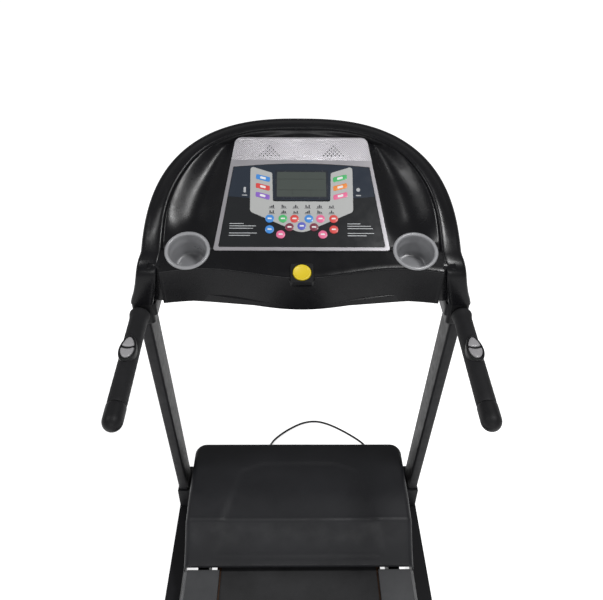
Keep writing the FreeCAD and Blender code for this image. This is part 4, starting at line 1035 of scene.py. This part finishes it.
# ---------------- softened CAD pieces
SOFTENED = (("base_frame", 1.6, "base"), ("tube_end_plugs", 2.0, "base"), ("rubber_feet", 2.0, "base"),
            ("left_side_rail", 1.2, "deck"), ("right_side_rail", 1.2, "deck"), ("left_rear_cap", 2.5, "deck"),
            ("right_rear_cap", 2.5, "deck"), ("deck_frame", 1.2, "deck"), ("deck_feet", 2.0, "deck"),
            ("running_deck", 1.5, "deck"), ("power_box", 2.0, "base"), ("belly_pan", 1.0, "deck"),
            ("console_lower_shell", 1.5, "base"))


def soften(node, width, body):
    """A copy of a CAD piece with its sharp edges rolled over, shown in its place."""
    builder = bmesh.new()
    builder.from_mesh(frame["nodes"][node].data)
    bmesh.ops.remove_doubles(builder, verts=builder.verts, dist=0.00002)
    bmesh.ops.dissolve_limit(builder, angle_limit=radians(1.5), verts=builder.verts, edges=builder.edges)
    mesh = bpy.data.meshes.new(f"{node}_soft")
    smooth_into(mesh, builder)
    thing = show(f"{node}_soft", mesh)
    mesh.materials.append(FINISHES[SLOT_OF[node]])
    roll_edges(thing, width, 3, 40)
    return settle(thing, body, (node,))


# ---------------- mains lead
LEAD_RADIUS = 3.5
LEAD_ROUTE = ((-95, 812, 78), (-96, 838, 76), (-98, 866, 60), (-99, 890, 34), (-95, 914, 11), (-84, 941, 3.5),
              (-58, 968, 3.5), (-24, 995, 3.5), (20, 1021, 3.5), (66, 1029, 3.5), (108, 1017, 3.5),
              (150, 993, 3.5), (193, 962, 3.5), (231, 929, 3.5), (247, 902, 3.5), (245.5, 876, 3.5))
COIL_CENTRE = (200, 856)
COIL_OUTER, COIL_INNER, COIL_PITCH = 45.6, 31.5, 7.05
TURN_POINTS = 16


def coil_points():
    """Turns wound inwards on the floor, then outwards on top, clockwise from above."""
    spread = COIL_OUTER - COIL_INNER
    inward = spread / COIL_PITCH
    climb, total = 0.3, 4.25
    points = []
    for i in range(int(total * TURN_POINTS) + 1):
        turns = i / TURN_POINTS
        if turns <= inward:
            radius = COIL_OUTER - COIL_PITCH * turns
        else:
            radius = COIL_INNER + spread * (max(0.0, turns - inward - climb) / (total - inward - climb))
        angle = -2 * pi * turns
        points.append((COIL_CENTRE[0] + radius * cos(angle), COIL_CENTRE[1] + radius * sin(angle),
                       LEAD_RADIUS + COIL_PITCH * blend(turns, inward - 0.05, inward + climb)))
    return points


def make_lead():
    """The lead from its relief to the floor, round behind the hood and into its coil, ending in the plug."""
    route = [*LEAD_ROUTE, *coil_points(), (190, 810.4, 10.4), (181, 810.5, 10.1)]
    curve = bpy.data.curves.new("mains_lead", "CURVE")
    curve.dimensions = "3D"
    curve.bevel_depth = LEAD_RADIUS * MM
    curve.bevel_resolution = 5
    curve.resolution_u = 8
    curve.use_fill_caps = True
    spline = curve.splines.new("NURBS")
    spline.points.add(len(route) - 1)
    for point, place in zip(spline.points, route):
        point.co = (*(at(*place) + BASE_LINE), 1)
    spline.order_u = 3
    spline.use_endpoint_u = True
    curve.materials.append(FINISHES["lead_black"])
    lead = settle(show("mains_lead", curve), "base", ("mains_cord", "cord_coil"))
    plug = soften("mains_plug", 2.2, "base")
    relief = [(3.6, 0), (5.4, 0), (5.4, 17.8), (7.5, 18), (7.5, 21.5)]
    for k in range(6):
        start, wide = 22.5 + 3.7 * k, 7.0 - 0.4 * k
        relief += [(wide, start), (wide, start + 2.2), (wide - 1.1, start + 2.6), (wide - 1.1, start + 3.3)]
    relief += [(4.5, 45), (3.6, 45)]
    piece("lead_relief", turned(relief, at(-95, 767, 78), (0, 1, 0), 40), "lead_black", ("strain_relief",))


# ---------------- run
make_camera()
make_studio()
dress_cad_nodes()
make_lead()
make_band()
make_top()
make_bezel()
make_film()
make_display()
make_keys()
make_cups()
make_key()
make_grips()
make_pods()
make_sleeves()
make_uprights()
make_hood()
for softened in SOFTENED:
    soften(*softened)
